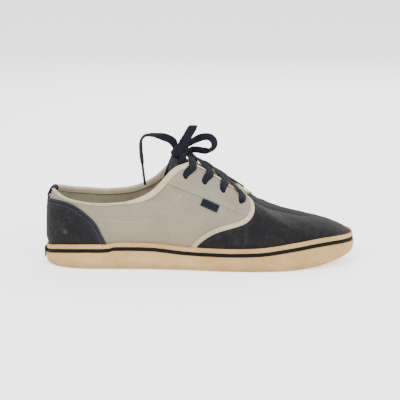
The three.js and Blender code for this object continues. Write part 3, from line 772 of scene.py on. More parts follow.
    def skin(self, count: int, rows: int) -> Skin:
        """The whole closed form, from inside the cup up to the ridge.

        Args:
            count: Stretches from the heel to the toe, on each side.
            rows: Stretches up each rib.

        Returns:
            The skin, with a normal at each corner.
        """
        spots = self.spots(count)
        at = np.concatenate([spots, spots[-2:0:-1]])
        side = np.concatenate([-np.ones(count + 1), np.ones(count - 1)])
        dense = (1 - np.cos(np.linspace(0, math.pi, 240))) / 2
        ribs = self.side_point(at[:, None], side[:, None], dense[None, :])
        steps = np.linalg.norm(np.diff(ribs, axis=1), axis=2)
        arc = np.concatenate([np.zeros((len(at), 1)), np.cumsum(steps, axis=1)], axis=1)
        turns = np.stack([np.interp(np.linspace(0, a[-1], rows + 1), a, dense) for a in arc])
        turns[:, -1] = 1
        body = self.side_point(at[:, None], side[:, None], turns)
        base = self.sole_top(at) - self.last_drop
        deep = base - self.cup_floor(at) - 1
        low = []
        for share in (1, 0.75, 0.5, 0.3, 0.14):
            drop = deep * share
            inset = self.wall_inset + self.skirt_inset * np.minimum(1, drop / self.skirt_depth)
            x, y = self.footprint(at, side, inset)
            low.append(np.stack([x, y, base - drop], axis=-1))
        grid = np.concatenate([np.stack(low, axis=1), body], axis=1)
        heights = np.concatenate(
            [np.stack([-deep * s for s in (1, 0.75, 0.5, 0.3, 0.14)], axis=1)]
            + [np.linspace(0, 1, rows + 1)[None, :] * arc[:, -1:]],
            axis=1,
        )
        lows = grid.shape[1] - rows - 1
        across = np.concatenate([np.ones((len(at), lows)), 1 - turns], axis=1) * side[:, None]
        total, levels = grid.shape[:2]
        number = np.arange(total * levels).reshape(total, levels)
        top = number[:, -1].copy()
        top[count + 1:] = top[np.arange(count - 1, 0, -1)]
        number[:, -1] = top
        nxt = np.roll(number, -1, axis=0)
        faces = distinct(quads(number[:, :-1], nxt[:, :-1], nxt[:, 1:], number[:, 1:]))
        points = grid.reshape(-1, 3)
        used = np.unique(faces)
        table = np.zeros(len(points), int)
        table[used] = np.arange(len(used))
        faces = table[faces]
        points = points[used]
        normals = corner_normals(points, faces)
        flow = np.stack([points[:, 0], heights.reshape(-1)[used]], axis=1)
        return Skin(points, normals, faces, flow, np.repeat(at, levels)[used], across.reshape(-1)[used])


def corner_normals(points: Array, faces: Array) -> Array:
    """Unit normals at a mesh's corners, from the faces round each.

    Args:
        points: The corners' places.
        faces: The triangles.

    Returns:
        The normals.
    """
    flat = np.cross(points[faces[:, 1]] - points[faces[:, 0]], points[faces[:, 2]] - points[faces[:, 0]])
    normals = np.zeros_like(points)
    for k in range(3):
        np.add.at(normals, faces[:, k], flat)
    return unit(normals)


def swept(path: Path, section: Array, closed: bool = False) -> Shape:
    """A solid strip along a line.

    Args:
        path: The line, with the surface's normals.
        section: The closed outline as rows of (across, up), or one such outline for each point of the line.
        closed: Whether the line's end meets its start.

    Returns:
        The closed solid.
    """
    count = len(path.points)
    outline = np.broadcast_to(section, (count, *section.shape[-2:]))
    size = outline.shape[1]
    rings = (
        path.points[:, None]
        + path.across[:, None] * outline[..., :1]
        + path.normals[:, None] * outline[..., 1:]
    )
    girth = np.concatenate([[0], np.cumsum(np.linalg.norm(np.diff(outline[0], axis=0), axis=1))])
    flow = np.stack(np.broadcast_arrays(path.lengths[:, None], girth[None, :]), axis=-1).reshape(-1, 2)
    number = np.arange(count * size).reshape(count, size)
    faces = [tube_faces(number, closed)]
    points = rings.reshape(-1, 3)
    if not closed:
        middles = rings[[0, -1]].mean(axis=1)
        points = np.vstack([points, middles])
        flow = np.vstack([flow, flow[[0, -size]]])
        total = count * size
        first, last = number[0], number[-1]
        faces.append(np.column_stack([np.roll(first, -1), first, np.full(size, total)]))
        faces.append(np.column_stack([last, np.roll(last, -1), np.full(size, total + 1)]))
    return Shape(points, np.vstack(faces), flow).outward()


def pill(width: float, thick: float, centre: float = 0, base: float = 0, corners: int = 5) -> Array:
    """A flat outline with rounded edges.

    Args:
        width: Its width.
        thick: Its thickness.
        centre: The middle's place across.
        base: The underside's height.
        corners: Points round each edge.

    Returns:
        The closed outline.
    """
    radius = thick / 2
    angles = np.linspace(-math.pi / 2, math.pi / 2, corners)
    right = np.stack([width / 2 - radius + radius * np.cos(angles), radius * np.sin(angles)], axis=1)
    left = np.stack([-right[::-1, 0], right[::-1, 1]], axis=1)
    flat = np.linspace(-0.5, 0.5, 5)[1:-1, None] * np.array([[width - 2 * radius, 0]])
    top = np.array([[0, radius]]) - flat
    low = np.array([[0, -radius]]) + flat
    outline = np.vstack([right, top, left, low])
    return outline + np.array([[centre, base + radius]])


def lens(width: float, thick: float, corners: int = 14) -> Array:
    """The section of a flat woven lace, a little thicker in its middle.

    Args:
        width: The width.
        thick: The thickness.
        corners: How many points the outline gets.

    Returns:
        The closed outline.
    """
    angles = np.linspace(0, 2 * math.pi, corners, endpoint=False)
    c, s = np.cos(angles), np.sin(angles)
    return np.stack(
        [width / 2 * np.sign(c) * np.abs(c) ** 0.75, thick / 2 * np.sign(s) * np.abs(s) ** 0.85], axis=1
    )


def thick_line(line: Array, thick: float) -> Array:
    """A closed outline round a flat line, with rounded ends.

    Args:
        line: The line's points, two values each.
        thick: The outline's thickness.

    Returns:
        The closed outline.
    """
    way = unit(np.gradient(line, axis=0))
    left = np.stack([-way[:, 1], way[:, 0]], axis=1) * thick / 2
    turns = np.linspace(0, math.pi, 5)[1:-1]

    def cap(middle: Array, side: Array, forward: Array) -> Array:
        """A half round at one end."""
        return middle + np.cos(turns)[:, None] * side + np.sin(turns)[:, None] * forward * thick / 2

    return np.vstack([
        line + left,
        cap(line[-1], left[-1], way[-1]),
        (line - left)[::-1],
        cap(line[0], -left[0], -way[0]),
    ])


class Nodes:
    """Adds and joins the nodes of one tree."""

    def __init__(self, tree: bpy.types.NodeTree) -> None:
        """Keeps the tree."""
        self.tree = tree

    def add(self, kind: str, inputs: dict | None = None, **settings: object) -> bpy.types.Node:
        """Adds a node.

        Args:
            kind: The node's type name.
            inputs: Values or sockets for its inputs, by name or number.
            settings: Properties of the node.

        Returns:
            The new node.
        """
        node = self.tree.nodes.new(kind)
        for key, value in settings.items():
            setattr(node, key, value)
        self.feed(node, inputs or {})
        return node

    def feed(self, node: bpy.types.Node, inputs: dict) -> None:
        """Sets a node's inputs.

        Args:
            node: The node.
            inputs: Values, or sockets to join, by the input's name or number.
        """
        for key, value in inputs.items():
            if isinstance(value, bpy.types.NodeSocket):
                self.tree.links.new(value, node.inputs[key])
            else:
                node.inputs[key].default_value = value

    def math(self, operation: str, *values: object, clamp: bool = False) -> bpy.types.NodeSocket:
        """A calculation on one, two or three numbers."""
        node = self.add("ShaderNodeMath", dict(enumerate(values)), operation=operation, use_clamp=clamp)
        return node.outputs[0]

    def range(
        self, value: object, low: float, high: float, start: float = 0, stop: float = 1
    ) -> bpy.types.NodeSocket:
        """Carries a value from one range to another, clamped.

        Args:
            value: The value or its socket.
            low: Where the first range starts.
            high: Where it stops.
            start: Where the second range starts.
            stop: Where it stops.

        Returns:
            The carried value.
        """
        node = self.add(
            "ShaderNodeMapRange",
            {"Value": value, "From Min": low, "From Max": high, "To Min": start, "To Max": stop},
        )
        return node.outputs[0]

    def mix(self, share: object, first: object, second: object, blend: str = "MIX") -> bpy.types.NodeSocket:
        """Mixes two colours.

        Args:
            share: The mask or number that says how much of the second.
            first: The first colour.
            second: The second colour.
            blend: The way they are mixed.

        Returns:
            The mixed colour.
        """
        node = self.add("ShaderNodeMix", data_type="RGBA", blend_type=blend)
        self.feed(node, {0: share, 6: first, 7: second})
        return node.outputs[2]

    def noise(
        self, vector: object, scale: float, detail: float = 3, rough: float = 0.5
    ) -> bpy.types.NodeSocket:
        """A noise from 0 to 1.

        Args:
            vector: The place that it is read at.
            scale: How fine it is.
            detail: How many finer layers are in it.
            rough: How strong these are.

        Returns:
            The noise.
        """
        node = self.add(
            "ShaderNodeTexNoise", {"Vector": vector, "Scale": scale, "Detail": detail, "Roughness": rough}
        )
        return node.outputs[0]


def shader_group(name: str, inputs: dict[str, tuple[str, object]], outputs: Iterable[str]) -> tuple:
    """Starts a node group that several finishes share.

    Args:
        name: The group's name.
        inputs: Its inputs' socket types and values, by name.
        outputs: The names of its number outputs.

    Returns:
        The tree, its nodes, and the group's input and output nodes.
    """
    tree = bpy.data.node_groups.new(name, "ShaderNodeTree")
    for key, (kind, value) in inputs.items():
        socket = tree.interface.new_socket(key, in_out="INPUT", socket_type=kind)
        if value is not None:
            socket.default_value = value
    for key in outputs:
        tree.interface.new_socket(key, in_out="OUTPUT", socket_type="NodeSocketFloat")
    nodes = Nodes(tree)
    return tree, nodes, nodes.add("NodeGroupInput"), nodes.add("NodeGroupOutput")


class Weave(Enum):
    """How a cloth is woven."""

    PLAIN = "plain"
    RIBBED = "ribbed"
    BRAID = "braid"
    FLEECE = "fleece"


VECTOR, FLOAT = "NodeSocketVector", "NodeSocketFloat"


class SharedEffects:
    """The node groups that several finishes use."""

    def __init__(self) -> None:
        """Builds each group once."""
        self.weaves = {kind: self._weave(kind) for kind in Weave}
        self.mottle = self._mottle()
        self.grime_and_shade = self._grime_and_shade()

    @staticmethod
    def _weave(kind: Weave) -> bpy.types.NodeTree:
        """Threads of a cloth on its own lengths, as a height and a tone: painted shade in the gaps between
        threads, with random flecks.

        Args:
            kind: The way it is woven.

        Returns:
            The group.
        """
        tree, nodes, start, end = shader_group(
            f"{kind.value} weave", {"Vector": (VECTOR, None), "Pitch": (FLOAT, 0.8)}, ("Height", "Tint")
        )
        bend = nodes.add("ShaderNodeTexNoise", {"Vector": start.outputs["Vector"], "Scale": 0.35, "Detail": 2})
        shift = nodes.add(
            "ShaderNodeVectorMath", {0: bend.outputs["Color"], "Scale": 0.5}, operation="SCALE"
        )
        wavy = nodes.add(
            "ShaderNodeVectorMath", {0: start.outputs["Vector"], 1: shift.outputs[0]}, operation="ADD"
        )
        split = nodes.add("ShaderNodeSeparateXYZ", {0: wavy.outputs[0]})
        u = nodes.math("DIVIDE", split.outputs[0], start.outputs["Pitch"])
        v = nodes.math("DIVIDE", split.outputs[1], start.outputs["Pitch"])

        def thread(value: object) -> bpy.types.NodeSocket:
            """A round thread for each whole number."""
            return nodes.math("ABSOLUTE", nodes.math("SINE", nodes.math("MULTIPLY", value, math.pi)))

        if kind is Weave.PLAIN:
            halves = [nodes.math("FLOOR", x) for x in (u, v)]
            parity = nodes.math("PINGPONG", nodes.math("ADD", *halves), 1.0)
            warp, weft = (
                nodes.math("MULTIPLY", thread(a), nodes.math("MULTIPLY_ADD", thread(b), 0.55, 0.45))
                for a, b in ((u, v), (v, u))
            )
            low = nodes.math("MULTIPLY", warp, nodes.math("SUBTRACT", 1.0, parity))
            height = nodes.math("ADD", low, nodes.math("MULTIPLY", weft, parity))
        elif kind is Weave.RIBBED:
            fine = nodes.math("MULTIPLY", thread(nodes.math("MULTIPLY", v, 1.7)), 0.25)
            height = nodes.math("ADD", nodes.math("MULTIPLY", thread(u), 0.75), fine)
        elif kind is Weave.BRAID:
            fold = nodes.math("PINGPONG", v, 2.2)
            height = thread(nodes.math("ADD", u, fold))
        else:
            height = nodes.noise(wavy.outputs[0], 2.5, 4, 0.7)
        # Painted shade: the tone is darker where the threads are low, in the gaps between them, and flecked at
        # random.
        flecks = nodes.noise(start.outputs["Vector"], 1.3, 2)
        gap_shade_and_flecks = nodes.math("MULTIPLY", nodes.math("ADD", 0.55, nodes.math("MULTIPLY", height, 0.45)),
                          nodes.math("ADD", 0.8, nodes.math("MULTIPLY", flecks, 0.4)), clamp=True)
        tree.links.new(height, end.inputs["Height"])
        tree.links.new(gap_shade_and_flecks, end.inputs["Tint"])
        return tree

    @staticmethod
    def _mottle() -> bpy.types.NodeTree:
        """Soft patches of a size, as a mask from 0 to 1.

        Returns:
            The group.
        """
        tree, nodes, start, end = shader_group(
            "mottle", {"Vector": (VECTOR, None), "Scale": (FLOAT, 60.0), "Share": (FLOAT, 0.5)}, ("Mask",)
        )
        noise = nodes.add(
            "ShaderNodeTexNoise",
            {"Vector": start.outputs["Vector"], "Scale": start.outputs["Scale"], "Detail": 5, "Roughness": 0.62},
        )
        edge = nodes.math("SUBTRACT", 1.0, start.outputs["Share"])
        low = nodes.math("SUBTRACT", edge, 0.14)
        mask = nodes.math("DIVIDE", nodes.math("SUBTRACT", noise.outputs[0], low), 0.28, clamp=True)
        tree.links.new(mask, end.inputs["Mask"])
        return tree

    @staticmethod
    def _grime_and_shade() -> bpy.types.NodeTree:
        """Darkening below a height, broken up by patches: dirt low on the outside of the shoe, painted shade
        deeper inside it.

        Returns:
            The group.
        """
        tree, nodes, start, end = shader_group(
            "grime_and_shade",
            {
                "Vector": (VECTOR, None), "Height": (FLOAT, 0.01), "Depth": (FLOAT, 0.01),
                "Scale": (FLOAT, 90.0),
            },
            ("Mask",),
        )
        z = nodes.add("ShaderNodeSeparateXYZ", {0: start.outputs["Vector"]}).outputs[2]
        noise = nodes.add(
            "ShaderNodeTexNoise",
            {"Vector": start.outputs["Vector"], "Scale": start.outputs["Scale"], "Detail": 5, "Roughness": 0.65},
        )
        wave = nodes.math("MULTIPLY", nodes.math("SUBTRACT", noise.outputs[0], 0.5), start.outputs["Depth"])
        broken = nodes.math("ADD", z, nodes.math("MULTIPLY", wave, 3.0))
        over = nodes.math("SUBTRACT", broken, start.outputs["Height"])
        share = nodes.math("SUBTRACT", 1.0, nodes.math("DIVIDE", over, start.outputs["Depth"]), clamp=True)
        mask = nodes.math("MULTIPLY", share, nodes.math("ADD", 0.35, noise.outputs[0]), clamp=True)
        tree.links.new(mask, end.inputs["Mask"])
        return tree


@dataclass(frozen=True)
class Finish:
    """What every finish shares: a name and a slot."""

    name: str
    slot: str

    def start(self) -> tuple[bpy.types.Material, Nodes, bpy.types.Node, bpy.types.NodeSocket]:
        """Starts the material.

        Returns:
            The material, its nodes, its shader and the object coordinates.
        """
        material = bpy.data.materials.new(self.name)
        material.use_nodes = True
        nodes = Nodes(material.node_tree)
        shader = material.node_tree.nodes["Principled BSDF"]
        place = nodes.add("ShaderNodeTexCoord").outputs["Object"]
        return material, nodes, shader, place

    @staticmethod
    def raised(
        nodes: Nodes, shader: bpy.types.Node, layers: Sequence[tuple[object, float, float]]
    ) -> None:
        """Feeds heights to the shader's normal.

        Args:
            nodes: The material's nodes.
            shader: Its shader.
            layers: Height sockets with their strengths and their depths in metres.
        """
        normal = None
        for height, strength, depth in layers:
            inputs = {"Height": height, "Strength": strength, "Distance": depth}
            if normal is not None:
                inputs["Normal"] = normal
            normal = nodes.add("ShaderNodeBump", inputs).outputs[0]
        nodes.tree.links.new(normal, shader.inputs["Normal"])

    @staticmethod
    def group(nodes: Nodes, tree: bpy.types.NodeTree, inputs: dict) -> bpy.types.Node:
        """Places a shared effect."""
        return nodes.add("ShaderNodeGroup", inputs, node_tree=tree)

    def blotches(self, nodes: Nodes, effects: SharedEffects, scale: float, share: float) -> bpy.types.NodeSocket:
        """Soft patches over the object, as a mask."""
        place = nodes.add("ShaderNodeTexCoord").outputs["Object"]
        return self.group(nodes, effects.mottle, {"Vector": place, "Scale": scale, "Share": share}).outputs[0]


@dataclass(frozen=True)
class Cloth(Finish):
    """A woven or fleecy cloth, mottled and soiled, and darker below a height, which inside the shoe is painted
    shade.
    """

    colour: tuple = (0.4, 0.36, 0.3, 1)
    shade: tuple = (0.3, 0.27, 0.22, 1)
    soil_and_shade: tuple = (0.2, 0.16, 0.11, 1)
    weave: Weave = Weave.PLAIN
    pitch: float = 0.75
    relief: float = 0.0002
    patches: float = 70
    soiled: float = 0.35
    grime_and_shade_height: float = 0.03
    grime_and_shade_depth: float = 0.02
    roughness: float = 0.9
    sheen: float = 0.08
    shine: float = 0.2

    def build(self, effects: SharedEffects) -> bpy.types.Material:
        """Makes the material.

        Args:
            effects: The shared node groups.

        Returns:
            The material.
        """
        material, nodes, shader, place = self.start()
        flow = nodes.add("ShaderNodeUVMap", uv_map="Flow").outputs[0]
        cloth = self.group(nodes, effects.weaves[self.weave], {"Vector": flow, "Pitch": self.pitch})
        patch = self.blotches(nodes, effects, self.patches, 0.5)
        colour = nodes.mix(nodes.math("MULTIPLY", patch, 0.7), self.colour, self.shade)
        # Painted shade: a darker copy of the colour shows in the gaps between threads, where the weave's tone is
        # low.
        dark = nodes.mix(1.0, colour, (0.5, 0.49, 0.48, 1), "MULTIPLY")
        colour = nodes.mix(nodes.range(cloth.outputs["Tint"], 0.4, 1.0), dark, colour)
        stain = self.blotches(nodes, effects, 23.0, self.soiled)
        colour = nodes.mix(nodes.math("MULTIPLY", stain, 0.35), colour, self.soil_and_shade)
        # Darker below a height: dirt low on the outside, painted shade deeper inside the shoe on the lining and
        # the footbed.
        grime_and_shade = self.group(
            nodes, effects.grime_and_shade,
            {"Vector": place, "Height": self.grime_and_shade_height, "Depth": self.grime_and_shade_depth, "Scale": 120.0},
        )
        colour = nodes.mix(nodes.math("MULTIPLY", grime_and_shade.outputs[0], 0.6), colour, self.soil_and_shade)
        rough = nodes.range(patch, 0, 1, self.roughness - 0.05, min(1, self.roughness + 0.05))
        nodes.feed(shader, {
            "Base Color": colour, "Roughness": rough, "Sheen Weight": self.sheen,
            "Specular IOR Level": self.shine,
        })
        wrinkles = nodes.noise(place, 160.0, 3)
        self.raised(nodes, shader, [(wrinkles, 0.35, 0.0008), (cloth.outputs["Height"], 0.8, self.relief)])
        return material


@dataclass(frozen=True)
class Suede(Finish):
    """Napped leather, worn paler on its creases and edges."""

    colour: tuple = (0.02, 0.02, 0.023, 1)
    faded: tuple = (0.05, 0.05, 0.052, 1)
    scuff: tuple = (0.2, 0.18, 0.15, 1)
    scuffs: float = 0.36
    sheen: float = 0.06

    def build(self, effects: SharedEffects) -> bpy.types.Material:
        """Makes the material.

        Args:
            effects: The shared node groups.

        Returns:
            The material.
        """
        material, nodes, shader, place = self.start()
        worn = nodes.add("ShaderNodeAttribute", attribute_name="Worn").outputs["Fac"]
        brushed = self.blotches(nodes, effects, 45.0, 0.55)
        fine = nodes.noise(place, 700.0, 4, 0.7)
        colour = nodes.mix(brushed, self.colour, self.faded)
        # Partly painted shade: the nap darkens where the fine noise is low, which is also where its bump sinks;
        # partly the nap's own grain.
        grain_and_hollow_shade = nodes.mix(1.0, colour, (0.55, 0.55, 0.57, 1), "MULTIPLY")
        colour = nodes.mix(nodes.range(fine, 0.35, 0.65), grain_and_hollow_shade, colour)
        marks = self.blotches(nodes, effects, 150.0, self.scuffs)
        dusty = nodes.math("MULTIPLY", worn, nodes.math("ADD", 0.45, fine), clamp=True)
        share = nodes.math("ADD", nodes.math("MULTIPLY", marks, 0.10), dusty, clamp=True)
        colour = nodes.mix(share, colour, self.scuff)
        rough = nodes.range(brushed, 0, 1, 0.82, 0.95)
        nodes.feed(shader, {
            "Base Color": colour, "Roughness": rough, "Sheen Weight": self.sheen, "Sheen Roughness": 0.45,
            "Specular IOR Level": 0.1,
        })
        pebbles = nodes.noise(place, 220.0, 3)
        self.raised(nodes, shader, [(pebbles, 0.3, 0.0009), (fine, 0.55, 0.00035)])
        return material


@dataclass(frozen=True)
class Rubber(Finish):
    """Moulded rubber, yellowed in patches, with dirt low down."""

    colour: tuple = (0.6, 0.47, 0.29, 1)
    aged: tuple = (0.5, 0.36, 0.19, 1)
    dirt: tuple = (0.2, 0.15, 0.1, 1)
    dirty: float = 0.5
    specks: float = 0.3
    dirt_height: float = 0.002
    dirt_depth: float = 0.006
    roughness: float = 0.6
    shine: float = 0.22

    def build(self, effects: SharedEffects) -> bpy.types.Material:
        """Makes the material.

        Args:
            effects: The shared node groups.

        Returns:
            The material.
        """
        material, nodes, shader, place = self.start()
        aged = self.blotches(nodes, effects, 26.0, 0.5)
        colour = nodes.mix(aged, self.colour, self.aged)
        specks = self.blotches(nodes, effects, 420.0, self.specks)
        colour = nodes.mix(nodes.math("MULTIPLY", specks, 0.4), colour, self.dirt)
        grime_and_shade = self.group(
            nodes, effects.grime_and_shade,
            {"Vector": place, "Height": self.dirt_height, "Depth": self.dirt_depth, "Scale": 75.0},
        )
        colour = nodes.mix(nodes.math("MULTIPLY", grime_and_shade.outputs[0], self.dirty), colour, self.dirt)
        rough = nodes.range(aged, 0, 1, self.roughness, self.roughness + 0.18)
        nodes.feed(shader, {"Base Color": colour, "Roughness": rough, "Specular IOR Level": self.shine})
        pores = nodes.noise(place, 900.0, 3, 0.6)
        dents = nodes.noise(place, 110.0, 3)
        self.raised(nodes, shader, [(dents, 0.25, 0.0007), (pores, 0.25, 0.00018)])
        return material


@dataclass(frozen=True)
class Thread(Finish):
    """Twisted sewing thread."""

    colour: tuple = (0.5, 0.46, 0.36, 1)

    def build(self, effects: SharedEffects) -> bpy.types.Material:
        """Makes the material.

        Args:
            effects: The shared node groups.

        Returns:
            The material.
        """
        material, nodes, shader, place = self.start()
        patch = self.blotches(nodes, effects, 300.0, 0.5)
        dark = tuple(0.65 * c for c in self.colour[:3]) + (1,)
        colour = nodes.mix(patch, self.colour, dark)
        nodes.feed(shader, {"Base Color": colour, "Roughness": 0.75})
        self.raised(nodes, shader, [(nodes.noise(place, 2500.0, 2), 0.5, 0.0001)])
        return material


@dataclass(frozen=True)
class Plastic(Finish):
    """Smooth plastic with faint scratches."""

    colour: tuple = (0.02, 0.02, 0.03, 1)
    roughness: float = 0.28

    def build(self, effects: SharedEffects) -> bpy.types.Material:
        """Makes the material.

        Args:
            effects: The shared node groups.

        Returns:
            The material.
        """
        material, nodes, shader, place = self.start()
        patch = self.blotches(nodes, effects, 500.0, 0.45)
        pale = tuple(min(1, 1.8 * c + 0.01) for c in self.colour[:3]) + (1,)
        colour = nodes.mix(patch, self.colour, pale)
        rough = nodes.range(patch, 0, 1, self.roughness, self.roughness + 0.2)
        nodes.feed(shader, {"Base Color": colour, "Roughness": rough})
        self.raised(nodes, shader, [(nodes.noise(place, 1500.0, 3), 0.2, 0.00008)])
        return material


class Palette:
    """Every finish of the shoe, each made once."""

    def __init__(self) -> None:
        """Makes the materials."""
        effects = SharedEffects()
        self.finishes: dict[str, Finish] = {}
        self.materials: dict[str, bpy.types.Material] = {}
        for finish in self._finishes():
            self.finishes[finish.name] = finish
            self.materials[finish.name] = finish.build(effects)

    @staticmethod
    def _finishes() -> list[Finish]:
        """The finishes, from the photo's colours.

        Returns:
            One of each.
        """
        return [
            Rubber("aged_rubber", "sidewall", colour=srgb(181, 150, 98), aged=srgb(163, 129, 78),
                   dirt=srgb(112, 92, 64)),
            Rubber("black_rubber", "stripe", colour=srgb(11, 11, 13), aged=srgb(16, 16, 18),
                   dirt=srgb(52, 48, 42), dirty=0.05, specks=0.22, roughness=0.6, shine=0.1),
            Rubber("badge_rubber", "badge", colour=srgb(58, 66, 79), aged=srgb(48, 55, 67),
                   dirt=srgb(104, 99, 90), specks=0.4, dirty=0.3, roughness=0.45),
            Cloth("canvas", "canvas", colour=srgb(148, 141, 123), shade=srgb(136, 128, 109),
                  soil_and_shade=srgb(130, 115, 92), soiled=0.4),
            # The lining's darkening below 30 mm is painted shade deeper inside the shoe; its blotches are stains.
            Cloth("lining", "lining", colour=srgb(176, 166, 146), shade=srgb(157, 146, 125),
                  soil_and_shade=srgb(112, 94, 70), pitch=0.6, soiled=0.5, grime_and_shade_height=0.03, grime_and_shade_depth=0.025),
            # The footbed lies wholly below that height, so it is darkened all over: partly painted shade inside
            # the shoe, partly dirt.
            Cloth("footbed", "lining", colour=srgb(132, 119, 98), shade=srgb(104, 90, 71),
                  soil_and_shade=srgb(61, 50, 38), weave=Weave.FLEECE, soiled=0.6),
            Suede("suede", "suede", colour=srgb(23, 23, 25), faded=srgb(32, 32, 34), scuff=srgb(92, 89, 83)),
            Cloth("edging", "edging", colour=srgb(29, 31, 36), shade=srgb(23, 24, 29), soil_and_shade=srgb(46, 45, 45),
                  weave=Weave.RIBBED, pitch=0.6, soiled=0.3, relief=0.00015, sheen=0.03, shine=0.12),
            Cloth("tape", "tape", colour=srgb(203, 192, 160), shade=srgb(184, 171, 137), soil_and_shade=srgb(140, 122, 93),
                  weave=Weave.RIBBED, pitch=0.55, soiled=0.4, relief=0.00015),
            Cloth("tongue_cloth", "tongue", colour=srgb(50, 48, 56), shade=srgb(40, 38, 46),
                  soil_and_shade=srgb(72, 67, 62), pitch=0.6, soiled=0.35, sheen=0.03, shine=0.12),
            Cloth("label_cloth", "label", colour=srgb(22, 25, 35), shade=srgb(17, 20, 28), soil_and_shade=srgb(58, 58, 62),
                  weave=Weave.RIBBED, pitch=0.35, soiled=0.3, relief=0.0001, sheen=0.03, shine=0.12),
            Cloth("lace_cloth", "lace", colour=srgb(21, 23, 34), shade=srgb(16, 18, 27), soil_and_shade=srgb(38, 40, 50),
                  weave=Weave.BRAID, pitch=0.9, relief=0.00035, soiled=0.35, sheen=0.04, shine=0.12),
            Thread("beige_thread", "tape", colour=srgb(172, 160, 132)),
            Thread("canvas_thread", "canvas", colour=srgb(128, 120, 104)),
            # This dark thread is painted shadow: its row draws the thin shadow line under the facing's lower
            # edge.
            Thread("seam_shadow_thread", "canvas", colour=srgb(84, 76, 64)),
            Thread("dotted_thread", "canvas", colour=srgb(196, 188, 168)),
            Thread("blue_thread", "edging", colour=srgb(66, 70, 80)),
            Thread("dark_thread", "tongue", colour=srgb(50, 50, 60)),
            Plastic("lace_tip", "aglet", colour=srgb(26, 27, 36)),
        ]

    def dress(self, shape: Shape, name: str, finish: str, sharp: float = 40) -> bpy.types.Object:
        """Makes a piece that rides on the shoe.

        Args:
            shape: Its form.
            name: Its name.
            finish: The finish's name.
            sharp: Edges that turn by more degrees stay crisp.

        Returns:
            The piece.
        """
        piece = shape.object(name, self.materials[finish], sharp)
        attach(piece, BODY)
        LOG.info("%s: %d triangles", name, len(shape.faces))
        return piece


@dataclass
class Fields:
    """Where the shoe's lines run, as signed distances over a skin, in millimetres."""

    last: Last
    collar_height: float = 62.8
    throat_top: float = 97.2
    collar_tilt: float = 0.04
    throat_gap: float = 31

    @property
    def middle(self) -> float:
        """The throat's middle, in Y."""
        return float(self.last.ridge(np.array([0.6]))[0, 1])

    def side_line(self, table: Line, collar: bool = False) -> Array:
        """A side-view table as a smooth line in millimetres.

        Args:
            table: The line's points, as shares.
            collar: Whether the heights count from the collar's lowest point.

        Returns:
            The line's points.
        """
        half = self.last.half_length
        if collar:
            rise = self.throat_top - self.collar_height
            return spline([(x * half, self.collar_height + rise * up) for x, up in table])
        return spline([(x * half, self.throat_top * up) for x, up in table])

    def plan_line(self, table: Line) -> Array:
        """A plan-view table as a smooth line in millimetres, Y counted from the throat's middle."""
        return spline([(x * self.last.half_length, y * self.throat_gap / 2) for x, y in table])

    def over_collar(self, skin: Skin) -> Array:
        """Positive above the collar's edge."""
        height = skin.points[:, 2] - self.collar_tilt * skin.points[:, 1]
        return signed(self.side_line(COLLAR_LINE, True), skin.points[:, 0], height)

    def off_throat(self, skin: Skin) -> Array:
        """Positive outside the opening between the facings.

        Args:
            skin: The skin.

        Returns:
            Distances.
        """
        aside = np.abs(skin.points[:, 1] - self.middle)
        start = THROAT_LINE[0][0] * self.last.half_length
        plan = signed(self.plan_line(THROAT_LINE), skin.points[:, 0], aside)
        plan = np.maximum(plan, start - skin.points[:, 0])
        return np.where(skin.points[:, 2] > 0.55 * self.collar_height, plan, np.maximum(plan, 5))

    def behind_quarter(self, skin: Skin) -> Array:
        """Positive on the quarters, behind their front edges.

        Args:
            skin: The skin.

        Returns:
            Distances.
        """
        side = -signed(self.side_line(QUARTER_LINE), skin.points[:, 0], skin.points[:, 2])
        aside = np.abs(skin.points[:, 1] - self.middle)
        tip = signed(self.plan_line(TIP_LINE), skin.points[:, 0], aside)
        low = skin.points[:, 2] < 0.5 * self.collar_height
        return soft_min(side, np.where(low, np.maximum(tip, side + 20), tip), 6)

    def over_counter(self, skin: Skin) -> Array:
        """Positive in front of and above the counter."""
        return signed(self.side_line(COUNTER_LINE), skin.points[:, 0], skin.points[:, 2])

    def over_seam(self, skin: Skin) -> Array:
        """Positive above the seam under the eyelets."""
        return signed(self.side_line(EYESTAY_SEAM), skin.points[:, 0], skin.points[:, 2])

    def over_sole(self, skin: Skin) -> Array:
        """Height above the sidewall's upper edge."""
        return skin.points[:, 2] - self.last.sole_top(skin.at)

    def tuck(self, skin: Skin) -> Array:
        """How far the layers stand proud: less where they slip behind the sole's edge."""
        return 0.1 + 0.9 * smooth(-0.5, 8, self.over_sole(skin))

    def eyelets(self) -> list[tuple[float, float]]:
        """The eyelets' stations and places across, the outer side's first.

        Returns:
            A station and a place across for each.
        """
        found = []
        for side in (-1, 1):
            for x, up in EYELETS:
                found.append(self.site(x * self.last.half_length, self.throat_top * up, side))
        return found

    def site(self, x: float, z: float, side: int) -> tuple[float, float]:
        """The station and the place across of a side-view point.

        Args:
            x: Its distance forward.
            z: Its height.
            side: -1 on the outer side and 1 on the inner one.

        Returns:
            Where it lies on the last.
        """
        def station(turn: float) -> float:
            """The station on a level that has the wanted X.

            Args:
                turn: The level, as a share of the way up the rib.

            Returns:
                The station.
            """
            low, high = 0.0, 1.0
            for _ in range(30):
                middle = (low + high) / 2
                if self.last.side_point(middle, side, turn)[0] < x:
                    low = middle
                else:
                    high = middle
            return (low + high) / 2

        low, high = 0.0, 1.0
        for _ in range(30):
            turn = (low + high) / 2
            if self.last.side_point(station(turn), side, turn)[2] < z:
                low = turn
            else:
                high = turn
        turn = (low + high) / 2
        return station(turn), side * (1 - turn)

    def off_eyelets(self, skin: Skin, radius: float) -> Array:
        """Positive outside the eyelets' holes.

        Args:
            skin: The skin.
            radius: The holes' radius.

        Returns:
            Distances.
        """
        nearest = np.full(len(skin.points), 1e3)
        for at, across in self.eyelets():
            centre, _ = self.last.on(np.array(at), np.array(across), 0)
            nearest = np.minimum(nearest, np.linalg.norm(skin.points - centre, axis=1))
        return nearest - radius


